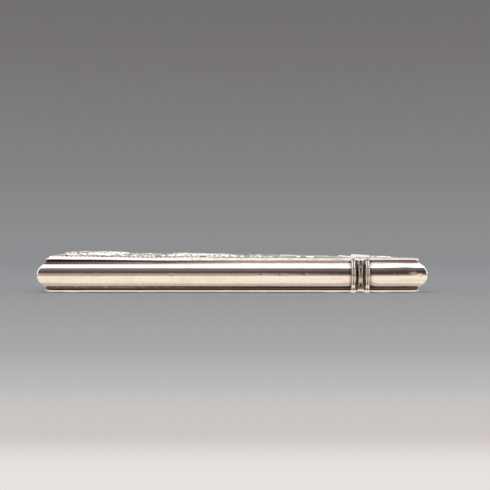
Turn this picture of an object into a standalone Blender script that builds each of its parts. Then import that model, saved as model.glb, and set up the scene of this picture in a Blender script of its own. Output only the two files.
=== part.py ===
"""A flat silver card case with rounded sides, chased faces and a lid that swings on a hinge at one edge.

Metres, +Z up. The case lies on its back. X runs from the foot to the lid's end, and the hinge edge
faces -Y.
"""

import math

import bmesh
import bpy
from mathutils import Vector

MM = 0.001

# Overall size, measured to the crests of the rounded sides
case_length = 100.0 * MM
case_width = 70.0 * MM
case_thickness = 8.34 * MM
lid_length = 17.15 * MM

# Sheet metal and the clearances between pieces
plate_sheet = 0.5 * MM
band_sheet = 0.5 * MM
solder_gap = 0.05 * MM
mouth_gap = 0.1 * MM
running_gap = 0.1 * MM

# Face plates: flat sheets whose edges stand out as lips over the rounded sides
plate_setback = 1.97 * MM
plate_corner_radius = 0.8 * MM
lip_round = 0.14 * MM
plate_corner_steps = 4

# Rounded sides: an arc at the crest, with a flat slope to each lip
crest_radius = 3.05 * MM
crest_half_angle = math.radians(50.0)
crest_steps = 8

# Reeded rims round the two mouths
rim_width = 1.1 * MM
rim_setback = 1.25 * MM
rim_bead_count = 2
rim_bead_steps = 4
rim_valley_share = 0.45
body_rim_front_height = 0.42 * MM
lid_rim_front_height = 0.75 * MM
rim_back_height = 0.35 * MM
rim_side_height = 0.35 * MM
rim_fold_drop = 0.42 * MM

# Inner bezel: a sleeve fixed in the body's mouth that the lid closes over
bezel_sheet = 0.4 * MM
bezel_depth = 5.0 * MM
bezel_reach = 3.0 * MM
bezel_slide_gap = 0.07 * MM
bezel_catch_gap = 0.22 * MM
bezel_hinge_clear = 3.5 * MM
pip_radius = 0.7 * MM
pip_height = 0.12 * MM
pip_crown_share = 0.55
pip_sides = 12

# Hinge: three knuckles on a riveted pin, in an open box between the rims
hinge_inset = 0.85 * MM
barrel_radius = 0.85 * MM
barrel_height = 7.2 * MM
front_knuckle_length = 1.8 * MM
middle_knuckle_length = 3.9 * MM
pin_radius = 0.4 * MM
pin_bore_gap = 0.05 * MM
pin_head_radius = 0.8 * MM
pin_head_height = 0.46 * MM
pin_crown_share = 0.6
pin_shoulder_share = 0.92
pin_shoulder_height_share = 0.62
box_depth = 2.66 * MM
box_sheet = 0.4 * MM
box_wall = 0.22 * MM
leaf_inset = 0.3 * MM
leaf_sheet = 0.5 * MM
leaf_seam_gap = 0.04 * MM
round_sides = 24

# Chased ornament: ridges raised from the plates, bolder at the foot of the front
front_relief_at_foot = 1.3 * MM
front_relief_at_mouth = 0.42 * MM
back_relief = 0.45 * MM
ridge_root = 0.22 * MM
ridge_top_share = 0.45
border_inset = 1.25 * MM
border_width = 0.9 * MM
border_height_share = 0.35
field_margin = 2.6 * MM
field_rim_margin = 0.5 * MM
stem_width = 1.9 * MM
cartouche_frame_width = 1.5 * MM
outer_leaf_length = 5.2 * MM
outer_leaf_width = 4.0 * MM
fringe_leaf_length = 3.2 * MM
fringe_leaf_width = 2.2 * MM
small_leaf_length = 3.5 * MM
small_leaf_width = 2.5 * MM
lid_leaf_length = 2.5 * MM
lid_leaf_width = 2.0 * MM
palmette_leaf_width = 3.4 * MM
corner_scroll_room = 3.42 * MM
corner_leaf_end_room = 5.85 * MM
corner_leaf_side_room = 4.72 * MM
palmette_root_room = 5.28 * MM
flower_radius = 3.3 * MM
small_flower_radius = 1.6 * MM
berry_radius = 0.9 * MM

# A leaf's stations: share along it, then its width and height there as shares of the greatest
leaf_station_shares = ((0, 0.45, 0.7), (0.3, 1.0, 1.0), (0.68, 0.96, 0.96), (1.0, 0.4, 0.6))
small_leaf_station_shares = ((0, 0.6, 0.75), (0.5, 1.0, 1.0), (1.0, 0.45, 0.7))
leaf_top_share = 0.5
leaf_turn_degrees = 24.0
leaf_curl_degrees = 118.0
fringe_turn_degrees = 12.0
fringe_curl_degrees = 90.0
palmette_curl_degrees = 70.0
inner_leaf_share = 0.66
leaf_height_share = 0.9

# Quarter of the body's ornament, in shares of the field's half length and half width
corner_eye_across_share = 0.51
corner_radius_share = 0.34
corner_turns = 1.5
corner_end_degrees = -68.0
corner_hand = -1
corner_outer_leaf_shares = (0.5, 0.62, 0.72, 0.82, 0.92, 1.0)
corner_fringe_leaf_shares = (0.56, 0.67, 0.77, 0.87, 0.96)
corner_inner_leaf_shares = (0.72, 0.84, 0.96)
side_eye_shares = (0.15, 0.745)
side_radius_share = 0.155
side_turns = 1.25
side_end_degrees = -10.0
side_hand = 1
side_leaf_shares = (0.5, 0.62, 0.74, 0.86, 0.97)
berry_place_shares = ((0.335, 0.9), (0.36, 0.12))
border_leaf_degrees = (10.0, 80.0, 45.0)
border_leaf_curl_degrees = (75.0, -75.0, 0.0)
cartouche_length_share = 0.29
cartouche_width_share = 0.3
cartouche_pad_share = 0.76
cartouche_leaf_degrees = (4.0, 24.0, 44.0, 64.0, 84.0)
cartouche_leaf_turn_degrees = -35.0
palmette_length_share = 0.3
palmette_spread_degrees = 72.0
front_palmette_leaves = 7
back_palmette_leaves = 3
palmette_shortening_share = 0.3

# The lid's ornament: places are shares of its half width, sizes are shares of its half length
lid_eye_shares = (0.27, 0.56, 0.84)
lid_eye_offset_share = 0.1
lid_scroll_radius_share = 0.6
lid_scroll_turns = 1.25
lid_end_degrees = -105.0
lid_leaf_shares = (0.62, 0.8, 0.97)
lid_palmette_share = 0.6
lid_palmette_leaves = 5

# Counts that set how finely the ornament is faceted
corner_steps = 18
back_corner_steps = 10
small_scroll_steps = 9
cartouche_steps = 20
flower_petals = 6
berry_sides = 6

# Ornament proportions
eye_radius_share = 0.22
eye_stem_share = 0.5
flower_valley_share = 0.7
flower_crown_share = 0.78
flower_height_share = 0.64
berry_crown_share = 0.5
pad_height_share = 1.0

# Worked out from the sizes above
half_length = case_length / 2
half_width = case_width / 2
plate_outer = case_thickness / 2
plate_inner = plate_outer - plate_sheet
lip_x = half_length - plate_setback
lip_y = half_width - plate_setback
band_half_height = plate_inner - solder_gap
joint_x = half_length - lid_length
mid_height = plate_outer + back_relief
hinge_y = -(half_width - hinge_inset)
pin_bore_radius = pin_radius + pin_bore_gap

SILVER = ((0.93, 0.91, 0.88, 1.0), 0.12)
CHASED_SILVER = ((0.86, 0.84, 0.81, 1.0), 0.28)
HINGE_SILVER = ((0.78, 0.75, 0.71, 1.0), 0.3)


def clear_scene():
    for obj in list(bpy.data.objects):
        bpy.data.objects.remove(obj, do_unlink=True)


def make_material(name, colour, roughness):
    material = bpy.data.materials.new(name)
    material.use_nodes = True
    shader = material.node_tree.nodes["Principled BSDF"]
    shader.inputs["Base Color"].default_value = colour
    shader.inputs["Metallic"].default_value = 1.0
    shader.inputs["Roughness"].default_value = roughness
    material.diffuse_color = colour
    return material


def add_empty(name, location):
    empty = bpy.data.objects.new(name, None)
    empty.location = location
    bpy.context.scene.collection.objects.link(empty)
    return empty


def add_piece(name, mesh_data, look, holder):
    """An object from a bmesh drawn about the case's centre, hung on the case or on the lid's pivot."""
    home, origin = holder
    bmesh.ops.translate(mesh_data, verts=mesh_data.verts, vec=-origin)
    bmesh.ops.recalc_face_normals(mesh_data, faces=mesh_data.faces)
    mesh = bpy.data.meshes.new(name)
    mesh_data.to_mesh(mesh)
    mesh_data.free()
    mesh.shade_smooth()
    mesh.set_sharp_from_angle(angle=math.radians(35.0))
    obj = bpy.data.objects.new(name, mesh)
    obj.parent = home
    obj.data.materials.append(make_material(name + "_silver", *look))
    bpy.context.scene.collection.objects.link(obj)
    return obj


def join_on(obj, addition):
    """Unites a helper mesh with obj, and removes the helper."""
    helper_mesh = bpy.data.meshes.new("helper")
    bmesh.ops.recalc_face_normals(addition, faces=addition.faces)
    addition.to_mesh(helper_mesh)
    addition.free()
    helper = bpy.data.objects.new("helper", helper_mesh)
    helper.parent = obj.parent
    helper.hide_render = True
    helper.display_type = "WIRE"
    bpy.context.scene.collection.objects.link(helper)
    union = obj.modifiers.new("union", "BOOLEAN")
    union.operation = "UNION"
    union.object = helper
    union.use_self = True
    bpy.context.view_layer.update()
    graph = bpy.context.evaluated_depsgraph_get()
    united = bpy.data.meshes.new_from_object(obj.evaluated_get(graph))
    obj.modifiers.clear()
    obj.data = united
    bpy.data.objects.remove(helper, do_unlink=True)


def add_rings(mesh_data, rings, cap="face"):
    """Walls between rings of equal length. cap is face for a plain ring, strip for a bent sheet."""
    loops = [[mesh_data.verts.new(point) for point in ring] for ring in rings]
    count = len(loops[0])
    for lower, upper in zip(loops, loops[1:]):
        for i in range(count):
            j = (i + 1) % count
            mesh_data.faces.new((lower[i], lower[j], upper[j], upper[i]))
    for loop in (loops[0], loops[-1]):
        if cap == "face":
            mesh_data.faces.new(loop)
            continue
        for i in range(count // 2 - 1):
            mesh_data.faces.new((loop[i], loop[i + 1], loop[-i - 2], loop[-i - 1]))
    return mesh_data


def side_outline(inset, half_height):
    """(depth, height) points of a rounded side, from back to front. Depth runs inward from the crest."""
    radius = crest_radius - inset
    points = []
    for i in range(crest_steps + 1):
        angle = crest_half_angle * (2 * i / crest_steps - 1)
        points.append((crest_radius - radius * math.cos(angle), radius * math.sin(angle)))
    slope_depth = (half_height - points[-1][1]) * math.tan(crest_half_angle)
    foot_depth = points[-1][0] + slope_depth
    return [(foot_depth, -half_height), *points, (foot_depth, half_height)]


def band_section():
    """Outer points, then inner points reversed, of the bent sheet of a rounded side."""
    outer = side_outline(0, band_half_height)
    inner = side_outline(band_sheet, band_half_height)
    return outer + inner[::-1]


def side_band(side, start, end):
    """A band along X on the side of that sign. start and end give its x at a depth below the crest."""
    section = band_section()
    rings = [
        [Vector((place(depth), side * (half_width - depth), height)) for depth, height in section]
        for place in (start, end)
    ]
    return add_rings(bmesh.new(), rings, "strip")


def end_band(end):
    """A band along Y at the end of that sign, mitred to meet the side bands."""
    section = band_section()
    mitre_gap = solder_gap * math.sqrt(2) / 2
    rings = [
        [
            Vector((
                end * (half_length - depth),
                side * (half_width - depth - mitre_gap),
                height,
            ))
            for depth, height in section
        ]
        for side in (-1, 1)
    ]
    return add_rings(bmesh.new(), rings, "strip")


def add_bands():
    mitre_gap = solder_gap * math.sqrt(2) / 2
    mouth_body = joint_x - mouth_gap / 2
    mouth_lid = joint_x + mouth_gap / 2
    hinge_stop = rim_setback + box_wall

    def foot_mitre(depth):
        return depth + mitre_gap - half_length

    def lid_mitre(depth):
        return half_length - depth - mitre_gap

    pieces = (
        ("body_hinge_side_band", -1, foot_mitre, lambda depth: joint_x - hinge_stop, CASE),
        ("body_catch_side_band", 1, foot_mitre, lambda depth: mouth_body, CASE),
        ("lid_hinge_side_band", -1, lambda depth: joint_x + hinge_stop, lid_mitre, LID),
        ("lid_catch_side_band", 1, lambda depth: mouth_lid, lid_mitre, LID),
    )
    for name, side, start, end, holder in pieces:
        add_piece(name, side_band(side, start, end), SILVER, holder)
    add_piece("body_foot_band", end_band(-1), SILVER, CASE)
    add_piece("lid_end_band", end_band(1), SILVER, LID)


def plate_outline(end, inset):
    """Corner-rounded outline of a face plate, whose free end lies at the end of that sign."""
    radius = plate_corner_radius - inset
    corner_x = lip_x - plate_corner_radius
    corner_y = lip_y - plate_corner_radius
    points = []
    for side, first in ((-1, -90.0), (1, 0.0)):
        for i in range(plate_corner_steps + 1):
            angle = math.radians(first + 90.0 * i / plate_corner_steps)
            points.append((
                corner_x + radius * math.cos(angle),
                side * corner_y + radius * math.sin(angle),
            ))
    mouth_x = end * joint_x + mouth_gap / 2 + inset
    points += [(mouth_x, lip_y - inset), (mouth_x, inset - lip_y)]
    return [(end * x, y) for x, y in points]


def face_plate(end, face):
    """A plate's flat sheet with its softened lip. face is +1 on the front and -1 on the back."""
    levels = (
        (lip_round, plate_inner),
        (0, plate_inner + lip_round),
        (0, plate_outer - lip_round),
        (lip_round, plate_outer),
    )
    rings = [
        [Vector((x, y, face * height)) for x, y in plate_outline(end, inset)] for inset, height in levels
    ]
    return add_rings(bmesh.new(), rings)


def relief_height(x, face):
    """How far the boldest ridges stand above the plate at x."""
    if face < 0:
        return back_relief
    share = (x + lip_x) / (joint_x + lip_x)
    share = min(max(share, 0), 1)
    return front_relief_at_foot + (front_relief_at_mouth - front_relief_at_foot) * share


def ridge_rings(stations, crown, face):
    """Cross-sections of a ridge with a crown. Each station is (x, y, width, height share)."""
    rings = []
    for i, (x, y, width, height_share) in enumerate(stations):
        before = stations[max(i - 1, 0)]
        after = stations[min(i + 1, len(stations) - 1)]
        along = Vector((after[0] - before[0], after[1] - before[1])).normalized()
        across = Vector((-along.y, along.x, 0))
        top = relief_height(x, face) * height_share
        rings.append([
            Vector((x, y, face * (plate_outer + lift))) + across * (width * reach)
            for reach, lift in ((-0.5, -ridge_root), *((side, top) for side in crown), (0.5, -ridge_root))
        ])
    return rings


def add_ridge(mesh_data, path, start_width, end_width, height_share, face):
    """A raised ridge along a path of (x, y) points, rooted in the sheet."""
    last = len(path) - 1
    stations = [
        (x, y, start_width + (end_width - start_width) * i / last, height_share)
        for i, (x, y) in enumerate(path)
    ]
    crown = (-0.5 * ridge_top_share, 0.5 * ridge_top_share)
    add_rings(mesh_data, ridge_rings(stations, crown, face))


def add_boss(mesh_data, centre, outline, crown_share, height_share, face):
    """A raised boss about a centre, from its outline of (x, y) offsets up to a smaller crown."""
    top = relief_height(centre[0], face) * height_share
    rings = []
    for share, lift in ((1.0, -ridge_root), (crown_share, top)):
        height = face * (plate_outer + lift)
        rings.append([Vector((centre[0] + x * share, centre[1] + y * share, height)) for x, y in outline])
    add_rings(mesh_data, rings)


def add_flower(mesh_data, centre, radius, face):
    outline = []
    for i in range(flower_petals * 2):
        reach = radius * (flower_valley_share if i % 2 else 1)
        angle = math.tau * i / (flower_petals * 2)
        outline.append((reach * math.cos(angle), reach * math.sin(angle)))
    add_boss(mesh_data, centre, outline, flower_crown_share, flower_height_share, face)


def add_berry(mesh_data, centre, face):
    outline = []
    for i in range(berry_sides):
        angle = math.tau * i / berry_sides
        outline.append((berry_radius * math.cos(angle), berry_radius * math.sin(angle)))
    add_boss(mesh_data, centre, outline, berry_crown_share, leaf_height_share, face)


def add_leaf(mesh_data, base, heading, length, width, curl, face, place, shares=leaf_station_shares):
    """A leaf that leaves base at heading, swells, and curls to its tip. place maps it onto the plate."""
    stations = []
    x, y = base
    reached = 0
    for share, width_share, height_share in shares:
        angle = heading + curl * (share + reached) / 2
        x += (share - reached) * length * math.cos(angle)
        y += (share - reached) * length * math.sin(angle)
        reached = share
        stations.append((*place(x, y), width * width_share, height_share * leaf_height_share))
    add_rings(mesh_data, ridge_rings(stations, (-0.5 * leaf_top_share, 0.5 * leaf_top_share), face))


def add_scroll(mesh_data, eye, radius, turns, end_degrees, hand, width, steps, face, place):
    """A tapering scroll that winds out from its eye. Returns its place at a share of its length."""
    def at(share):
        reach = radius * eye_radius_share ** (1 - share)
        angle = math.radians(end_degrees) - hand * turns * math.tau * (1 - share)
        return eye[0] + reach * math.cos(angle), eye[1] + reach * math.sin(angle)

    path = [place(*at(i / steps)) for i in range(steps + 1)]
    add_ridge(mesh_data, path, width * eye_stem_share, width, 1.0, face)
    return at


def add_scroll_leaves(
    mesh_data, at, eye, shares, outward, length, width, face, place, stations=small_leaf_station_shares,
    turn_degrees=leaf_turn_degrees, curl_degrees=leaf_curl_degrees,
):
    """Leaves along a scroll, that grow towards its eye on its outer side, or its inner one."""
    for share in shares:
        base = at(share)
        ahead = at(share - 1 / corner_steps)
        growth = math.atan2(ahead[1] - base[1], ahead[0] - base[0])
        radial = math.atan2(base[1] - eye[1], base[0] - eye[0])
        swing = math.copysign(1, math.sin(radial - growth)) * outward
        heading = growth + swing * math.radians(turn_degrees)
        curl = swing * math.radians(curl_degrees)
        add_leaf(mesh_data, base, heading, length, width, curl, face, place, stations)


def add_palmette(mesh_data, root, heading_degrees, leaves, length, width, face, place):
    """A fan of leaves that spring from one root."""
    for i in range(leaves):
        spread = 2 * i / (leaves - 1) - 1
        heading = math.radians(heading_degrees + palmette_spread_degrees * spread)
        reach = length * (1 - abs(spread) * palmette_shortening_share)
        curl = math.radians(palmette_curl_degrees) * spread
        add_leaf(mesh_data, root, heading, reach, width, curl, face, place, small_leaf_station_shares)


def add_frame(mesh_data, centre_x, half_x, half_y, face):
    """The oval frame of the vacant cartouche, its flat pad, and the leaves round it."""
    outline = []
    for i in range(cartouche_steps):
        angle = math.tau * i / cartouche_steps
        outline.append((math.cos(angle), math.sin(angle)))
    loops = []
    top = relief_height(centre_x, face)
    for reach, lift in (
        (-0.5, -ridge_root),
        (-0.5 * ridge_top_share, top),
        (0.5 * ridge_top_share, top),
        (0.5, -ridge_root),
    ):
        spread = cartouche_frame_width * reach
        loops.append([
            mesh_data.verts.new((
                centre_x + (half_x + spread) * x,
                (half_y + spread) * y,
                face * (plate_outer + lift),
            ))
            for x, y in outline
        ])
    for inner, outer in zip(loops, loops[1:] + loops[:1]):
        for i in range(cartouche_steps):
            j = (i + 1) % cartouche_steps
            mesh_data.faces.new((inner[i], inner[j], outer[j], outer[i]))
    pad = [(half_x * x * cartouche_pad_share, half_y * y * cartouche_pad_share) for x, y in outline]
    add_boss(mesh_data, (centre_x, 0), pad, 1.0, pad_height_share, face)


def quarter(centre_x, end, side):
    """Maps a point of the quarter design, drawn from the field's centre, onto one quarter of it."""
    return lambda x, y: (centre_x + end * x, side * y)


def body_ornament(face):
    """Border, cartouche, scrolls and leaves of the body's face, the same in each quarter.

    The back is plainer, with every second leaf, and no inner or fringe ones.
    """
    bold = face > 0
    every = slice(None) if bold else slice(1, None, 2)
    side_every = slice(None) if bold else slice(2, None, 2)
    stations = leaf_station_shares if bold else small_leaf_station_shares
    leaf_count = len(border_leaf_degrees) if bold else 1
    low_x = field_margin - lip_x
    high_x = joint_x - rim_setback - rim_width - field_rim_margin
    centre_x, field_x = (low_x + high_x) / 2, (high_x - low_x) / 2
    field_y = lip_y - field_margin
    ornament = bmesh.new()
    edge_x, edge_y = border_inset - lip_x, lip_y - border_inset
    border = [(high_x, -edge_y), (edge_x, -edge_y), (edge_x, edge_y), (high_x, edge_y)]
    add_ridge(ornament, border, border_width, border_width, border_height_share, face)
    half_x, half_y = field_x * cartouche_length_share, field_y * cartouche_width_share
    add_frame(ornament, centre_x, half_x, half_y, face)
    corner_radius = field_y * corner_radius_share
    corner_eye = (field_x - corner_radius - corner_scroll_room, field_y * corner_eye_across_share)
    side_eye = (field_x * side_eye_shares[0], field_y * side_eye_shares[1])
    for end in (-1, 1):
        for side in (-1, 1):
            place = quarter(centre_x, end, side)
            at = add_scroll(
                ornament, corner_eye, corner_radius, corner_turns, corner_end_degrees, corner_hand,
                stem_width, corner_steps if bold else back_corner_steps, face, place,
            )
            add_scroll_leaves(
                ornament, at, corner_eye, corner_outer_leaf_shares[every], 1,
                outer_leaf_length, outer_leaf_width, face, place, stations,
            )
            if bold:
                add_scroll_leaves(
                    ornament, at, corner_eye, corner_fringe_leaf_shares, 1, fringe_leaf_length,
                    fringe_leaf_width, face, place, small_leaf_station_shares,
                    fringe_turn_degrees, fringe_curl_degrees,
                )
                add_scroll_leaves(
                    ornament, at, corner_eye, corner_inner_leaf_shares, -1,
                    outer_leaf_length * inner_leaf_share, outer_leaf_width * inner_leaf_share, face, place,
                )
            add_flower(ornament, place(*corner_eye), flower_radius, face)
            at = add_scroll(
                ornament, side_eye, field_y * side_radius_share, side_turns, side_end_degrees, side_hand,
                stem_width, small_scroll_steps, face, place,
            )
            add_scroll_leaves(
                ornament, at, side_eye, side_leaf_shares[side_every], 1,
                small_leaf_length, small_leaf_width, face, place,
            )
            if bold:
                add_flower(ornament, place(*side_eye), small_flower_radius, face)
            for along, across in berry_place_shares[every]:
                add_berry(ornament, place(field_x * along, field_y * across), face)
            for degrees in cartouche_leaf_degrees[every]:
                angle = math.radians(degrees)
                base = (half_x * math.cos(angle), half_y * math.sin(angle))
                add_leaf(
                    ornament, base, angle + math.radians(cartouche_leaf_turn_degrees), small_leaf_length,
                    small_leaf_width, math.radians(leaf_curl_degrees), face, place,
                    small_leaf_station_shares,
                )
            corner = (field_x - corner_leaf_end_room, field_y - corner_leaf_side_room)
            for degrees, curl in zip(border_leaf_degrees[:leaf_count], border_leaf_curl_degrees):
                add_leaf(
                    ornament, corner, math.radians(degrees), outer_leaf_length, outer_leaf_width,
                    math.radians(curl), face, place, small_leaf_station_shares,
                )
        root = (field_x - palmette_root_room, 0)
        add_palmette(
            ornament, root, math.degrees(math.pi), front_palmette_leaves if bold else back_palmette_leaves,
            field_x * palmette_length_share, palmette_leaf_width, face, quarter(centre_x, end, 1),
        )
    return ornament


def lid_ornament(face):
    """Running scrolls on each side of a palmette, on the lid's face. The back is plainer."""
    every = 1 if face > 0 else 3
    low_x, high_x = joint_x + rim_setback + rim_width + field_rim_margin, lip_x - field_margin
    centre_x, field_x = (low_x + high_x) / 2, (high_x - low_x) / 2
    field_y = lip_y - field_margin
    ornament = bmesh.new()
    edge_x, edge_y = lip_x - border_inset, lip_y - border_inset
    border = [(low_x, -edge_y), (edge_x, -edge_y), (edge_x, edge_y), (low_x, edge_y)]
    add_ridge(ornament, border, border_width, border_width, border_height_share, face)
    for side in (-1, 1):
        place = quarter(centre_x, 1, side)
        for i, share in enumerate(lid_eye_shares):
            swing = 1 if i % 2 else -1
            eye = (swing * field_x * lid_eye_offset_share, field_y * share)
            at = add_scroll(
                ornament, eye, field_x * lid_scroll_radius_share, lid_scroll_turns,
                swing * lid_end_degrees, swing, stem_width, small_scroll_steps, face, place,
            )
            add_scroll_leaves(
                ornament, at, eye, lid_leaf_shares[::every], 1, lid_leaf_length, lid_leaf_width, face,
                place,
            )
            if face > 0:
                add_flower(ornament, place(*eye), small_flower_radius, face)
    root = (-field_x * lid_palmette_share, 0)
    add_palmette(
        ornament, root, 0, lid_palmette_leaves if face > 0 else back_palmette_leaves,
        field_x * 2 * lid_palmette_share, small_leaf_width, face, quarter(centre_x, 1, 1),
    )
    return ornament


def add_plates():
    for face, side_name in ((1, "front"), (-1, "back")):
        body = add_piece(f"body_{side_name}_plate", face_plate(-1, face), CHASED_SILVER, CASE)
        join_on(body, body_ornament(face))
        lid = add_piece(f"lid_{side_name}_plate", face_plate(1, face), CHASED_SILVER, LID)
        ornament = lid_ornament(face)
        bmesh.ops.translate(ornament, verts=ornament.verts, vec=-LID[1])
        join_on(lid, ornament)


def bead_profile(height):
    """(along, lift) points over a reeded strip, from its base edge to its other base edge."""
    points = [(0, 0)]
    for bead in range(rim_bead_count):
        for i in range(rim_bead_steps + 1):
            if bead and not i:
                continue
            share = (bead + i / rim_bead_steps) / rim_bead_count
            swell = rim_valley_share + (1 - rim_valley_share) * math.sin(math.pi * i / rim_bead_steps)
            points.append((share * rim_width, swell * height))
    return points + [(rim_width, 0)]


def reeded_strip(start_x, stations):
    """A reeded strip swept along stations of (point, outward direction, height) in the YZ plane."""
    rings = []
    for (y, z), (out_y, out_z), height in stations:
        rings.append([
            Vector((start_x + along, y + out_y * lift, z + out_z * lift))
            for along, lift in bead_profile(height)
        ])
    return add_rings(bmesh.new(), rings)


def face_rim_stations(face, height):
    """Over a face from lip to lip, and folded down over each lip."""
    lip = lip_y + solder_gap
    top = plate_outer + solder_gap
    fold = (plate_outer - rim_fold_drop) * face
    corner = math.sqrt(2) / 2
    side_height = rim_side_height
    corner_height = (height + side_height) / 2 / corner
    stations = []
    for side in (-1, 1):
        ends = [
            ((side * lip, fold), (side, 0), side_height),
            ((side * lip, face * top), (side * corner, face * corner), corner_height),
            ((side * (lip_y - rim_side_height), face * top), (0, face), height),
        ]
        stations += ends if side < 0 else ends[::-1]
    return stations


def side_rim_stations(side):
    """Over a rounded side between the two lips."""
    half_height = band_half_height - solder_gap
    outline = side_outline(-solder_gap, half_height)
    stations = []
    for i, (depth, height) in enumerate(outline):
        angle = crest_half_angle * (2 * (i - 1) / crest_steps - 1)
        angle = min(max(angle, -crest_half_angle), crest_half_angle)
        out = (side * math.cos(angle), math.sin(angle))
        if i in (0, len(outline) - 1):
            out = (side / math.cos(angle), 0)
        stations.append(((side * (half_width - depth), height), out, rim_side_height))
    return stations


def add_rims():
    parts = (
        ("body", joint_x - rim_setback - rim_width, body_rim_front_height, CASE),
        ("lid", joint_x + rim_setback, lid_rim_front_height, LID),
    )
    for owner, start_x, front_height, holder in parts:
        front = reeded_strip(start_x, face_rim_stations(1, front_height))
        back = reeded_strip(start_x, face_rim_stations(-1, rim_back_height))
        add_piece(f"{owner}_rim_front", front, SILVER, holder)
        add_piece(f"{owner}_rim_back", back, SILVER, holder)
        add_piece(f"{owner}_rim_hinge_side", reeded_strip(start_x, side_rim_stations(-1)), SILVER, holder)
        add_piece(f"{owner}_rim_catch_side", reeded_strip(start_x, side_rim_stations(1)), SILVER, holder)


def bezel_section(catch_gap):
    """Outer points, then inner points reversed, of the sleeve's bent strip."""
    outer_height = plate_inner - bezel_slide_gap
    inner_height = outer_height - bezel_sheet
    start_y = hinge_y + bezel_hinge_clear
    inset = band_sheet + catch_gap
    outer = side_outline(inset, outer_height)
    inner = side_outline(inset + bezel_sheet, inner_height)
    outer_points = [(half_width - depth, height) for depth, height in outer]
    inner_points = [(half_width - depth, height) for depth, height in inner]
    outer_points = [(start_y, -outer_height), *outer_points, (start_y, outer_height)]
    inner_points = [(start_y, -inner_height), *inner_points, (start_y, inner_height)]
    return outer_points + inner_points[::-1]


def add_bezel():
    section = bezel_section(bezel_catch_gap)
    ends = (joint_x - bezel_depth, joint_x + bezel_reach)
    rings = [[Vector((x, y, z)) for y, z in section] for x in ends]
    add_piece("inner_bezel", add_rings(bmesh.new(), rings, "strip"), SILVER, CASE)
    crest = half_width - band_sheet - bezel_catch_gap + solder_gap / 2
    centre_x = joint_x + bezel_reach / 2
    rings = []
    for radius_share, lift in ((1.0, 0), (1.0, pip_height / 2), (pip_crown_share, pip_height)):
        rings.append([
            Vector((
                centre_x + pip_radius * radius_share * math.cos(math.tau * i / pip_sides),
                crest + lift,
                pip_radius * radius_share * math.sin(math.tau * i / pip_sides),
            ))
            for i in range(pip_sides)
        ])
    add_piece("snap_pip", add_rings(bmesh.new(), rings), SILVER, CASE)


def knuckle(bottom, top, end):
    """A tube about the hinge axis with a leaf that reaches back to the box. end is +1 for the body's."""
    leaf_near, leaf_far = leaf_inset, leaf_inset + leaf_sheet
    leaf_tip = box_depth - hinge_inset - leaf_seam_gap
    leaf_points = (
        (leaf_near, math.sqrt(barrel_radius ** 2 - leaf_near ** 2)),
        (leaf_near, leaf_tip),
        (leaf_far, leaf_tip),
        (leaf_far, math.sqrt(barrel_radius ** 2 - leaf_far ** 2)),
    )
    outer, bore = [], []
    for i in range(round_sides):
        angle = math.tau * (i + 0.5) / round_sides
        outer.append((barrel_radius * math.cos(angle), barrel_radius * math.sin(angle)))
        bore.append((pin_bore_radius * math.cos(angle), pin_bore_radius * math.sin(angle)))
    first = round_sides // 4 + 1
    for i, (across, along) in enumerate(leaf_points):
        outer[first + i] = (-across, along)
    mesh_data = bmesh.new()
    loops = []
    for z in (bottom, top):
        for points in (outer, bore):
            loops.append([mesh_data.verts.new((joint_x + end * x, hinge_y + y, z)) for x, y in points])
    low_outer, low_bore, high_outer, high_bore = loops
    for i in range(round_sides):
        j = (i + 1) % round_sides
        mesh_data.faces.new((low_outer[i], low_outer[j], high_outer[j], high_outer[i]))
        mesh_data.faces.new((low_bore[j], low_bore[i], high_bore[i], high_bore[j]))
    half = round_sides // 2
    for rim, bore_rim in ((low_outer, low_bore), (high_outer, high_bore)):
        mesh_data.faces.new(rim[:half + 1] + bore_rim[half::-1])
        mesh_data.faces.new(rim[half:] + rim[:1] + bore_rim[:1] + bore_rim[:half - 1:-1])
    return mesh_data


def hinge_box(end):
    """Half of the open box behind the knuckles: a wall of the rounded side's outline and a back strip."""
    half_height = band_half_height - solder_gap
    outline = side_outline(0, half_height)
    near_x = joint_x - end * (rim_setback - running_gap / 2)
    far_x = joint_x - end * (rim_setback + box_wall - solder_gap)
    tip_x = joint_x - end * mouth_gap / 2
    near_y = box_depth - half_width
    far_y = near_y + box_sheet
    mesh_data = bmesh.new()
    new = mesh_data.verts.new
    near = [new((near_x, depth - half_width, height)) for depth, height in outline]
    far = [new((far_x, depth - half_width, height)) for depth, height in outline]
    corners = []
    for z in (-half_height, half_height):
        bends = ((near_x, near_y), (tip_x, near_y), (tip_x, far_y), (far_x, far_y))
        corners.append([new((x, y, z)) for x, y in bends])
    low, high = corners
    for i in range(len(outline) - 1):
        mesh_data.faces.new((near[i], near[i + 1], far[i + 1], far[i]))
    for i in range(3):
        mesh_data.faces.new((low[i], low[i + 1], high[i + 1], high[i]))
    mesh_data.faces.new(near + [high[0], low[0]])
    mesh_data.faces.new(far + [high[3], low[3]])
    mesh_data.faces.new([near[0]] + low + [far[0]])
    mesh_data.faces.new([near[-1]] + high + [far[-1]])
    return mesh_data


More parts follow.
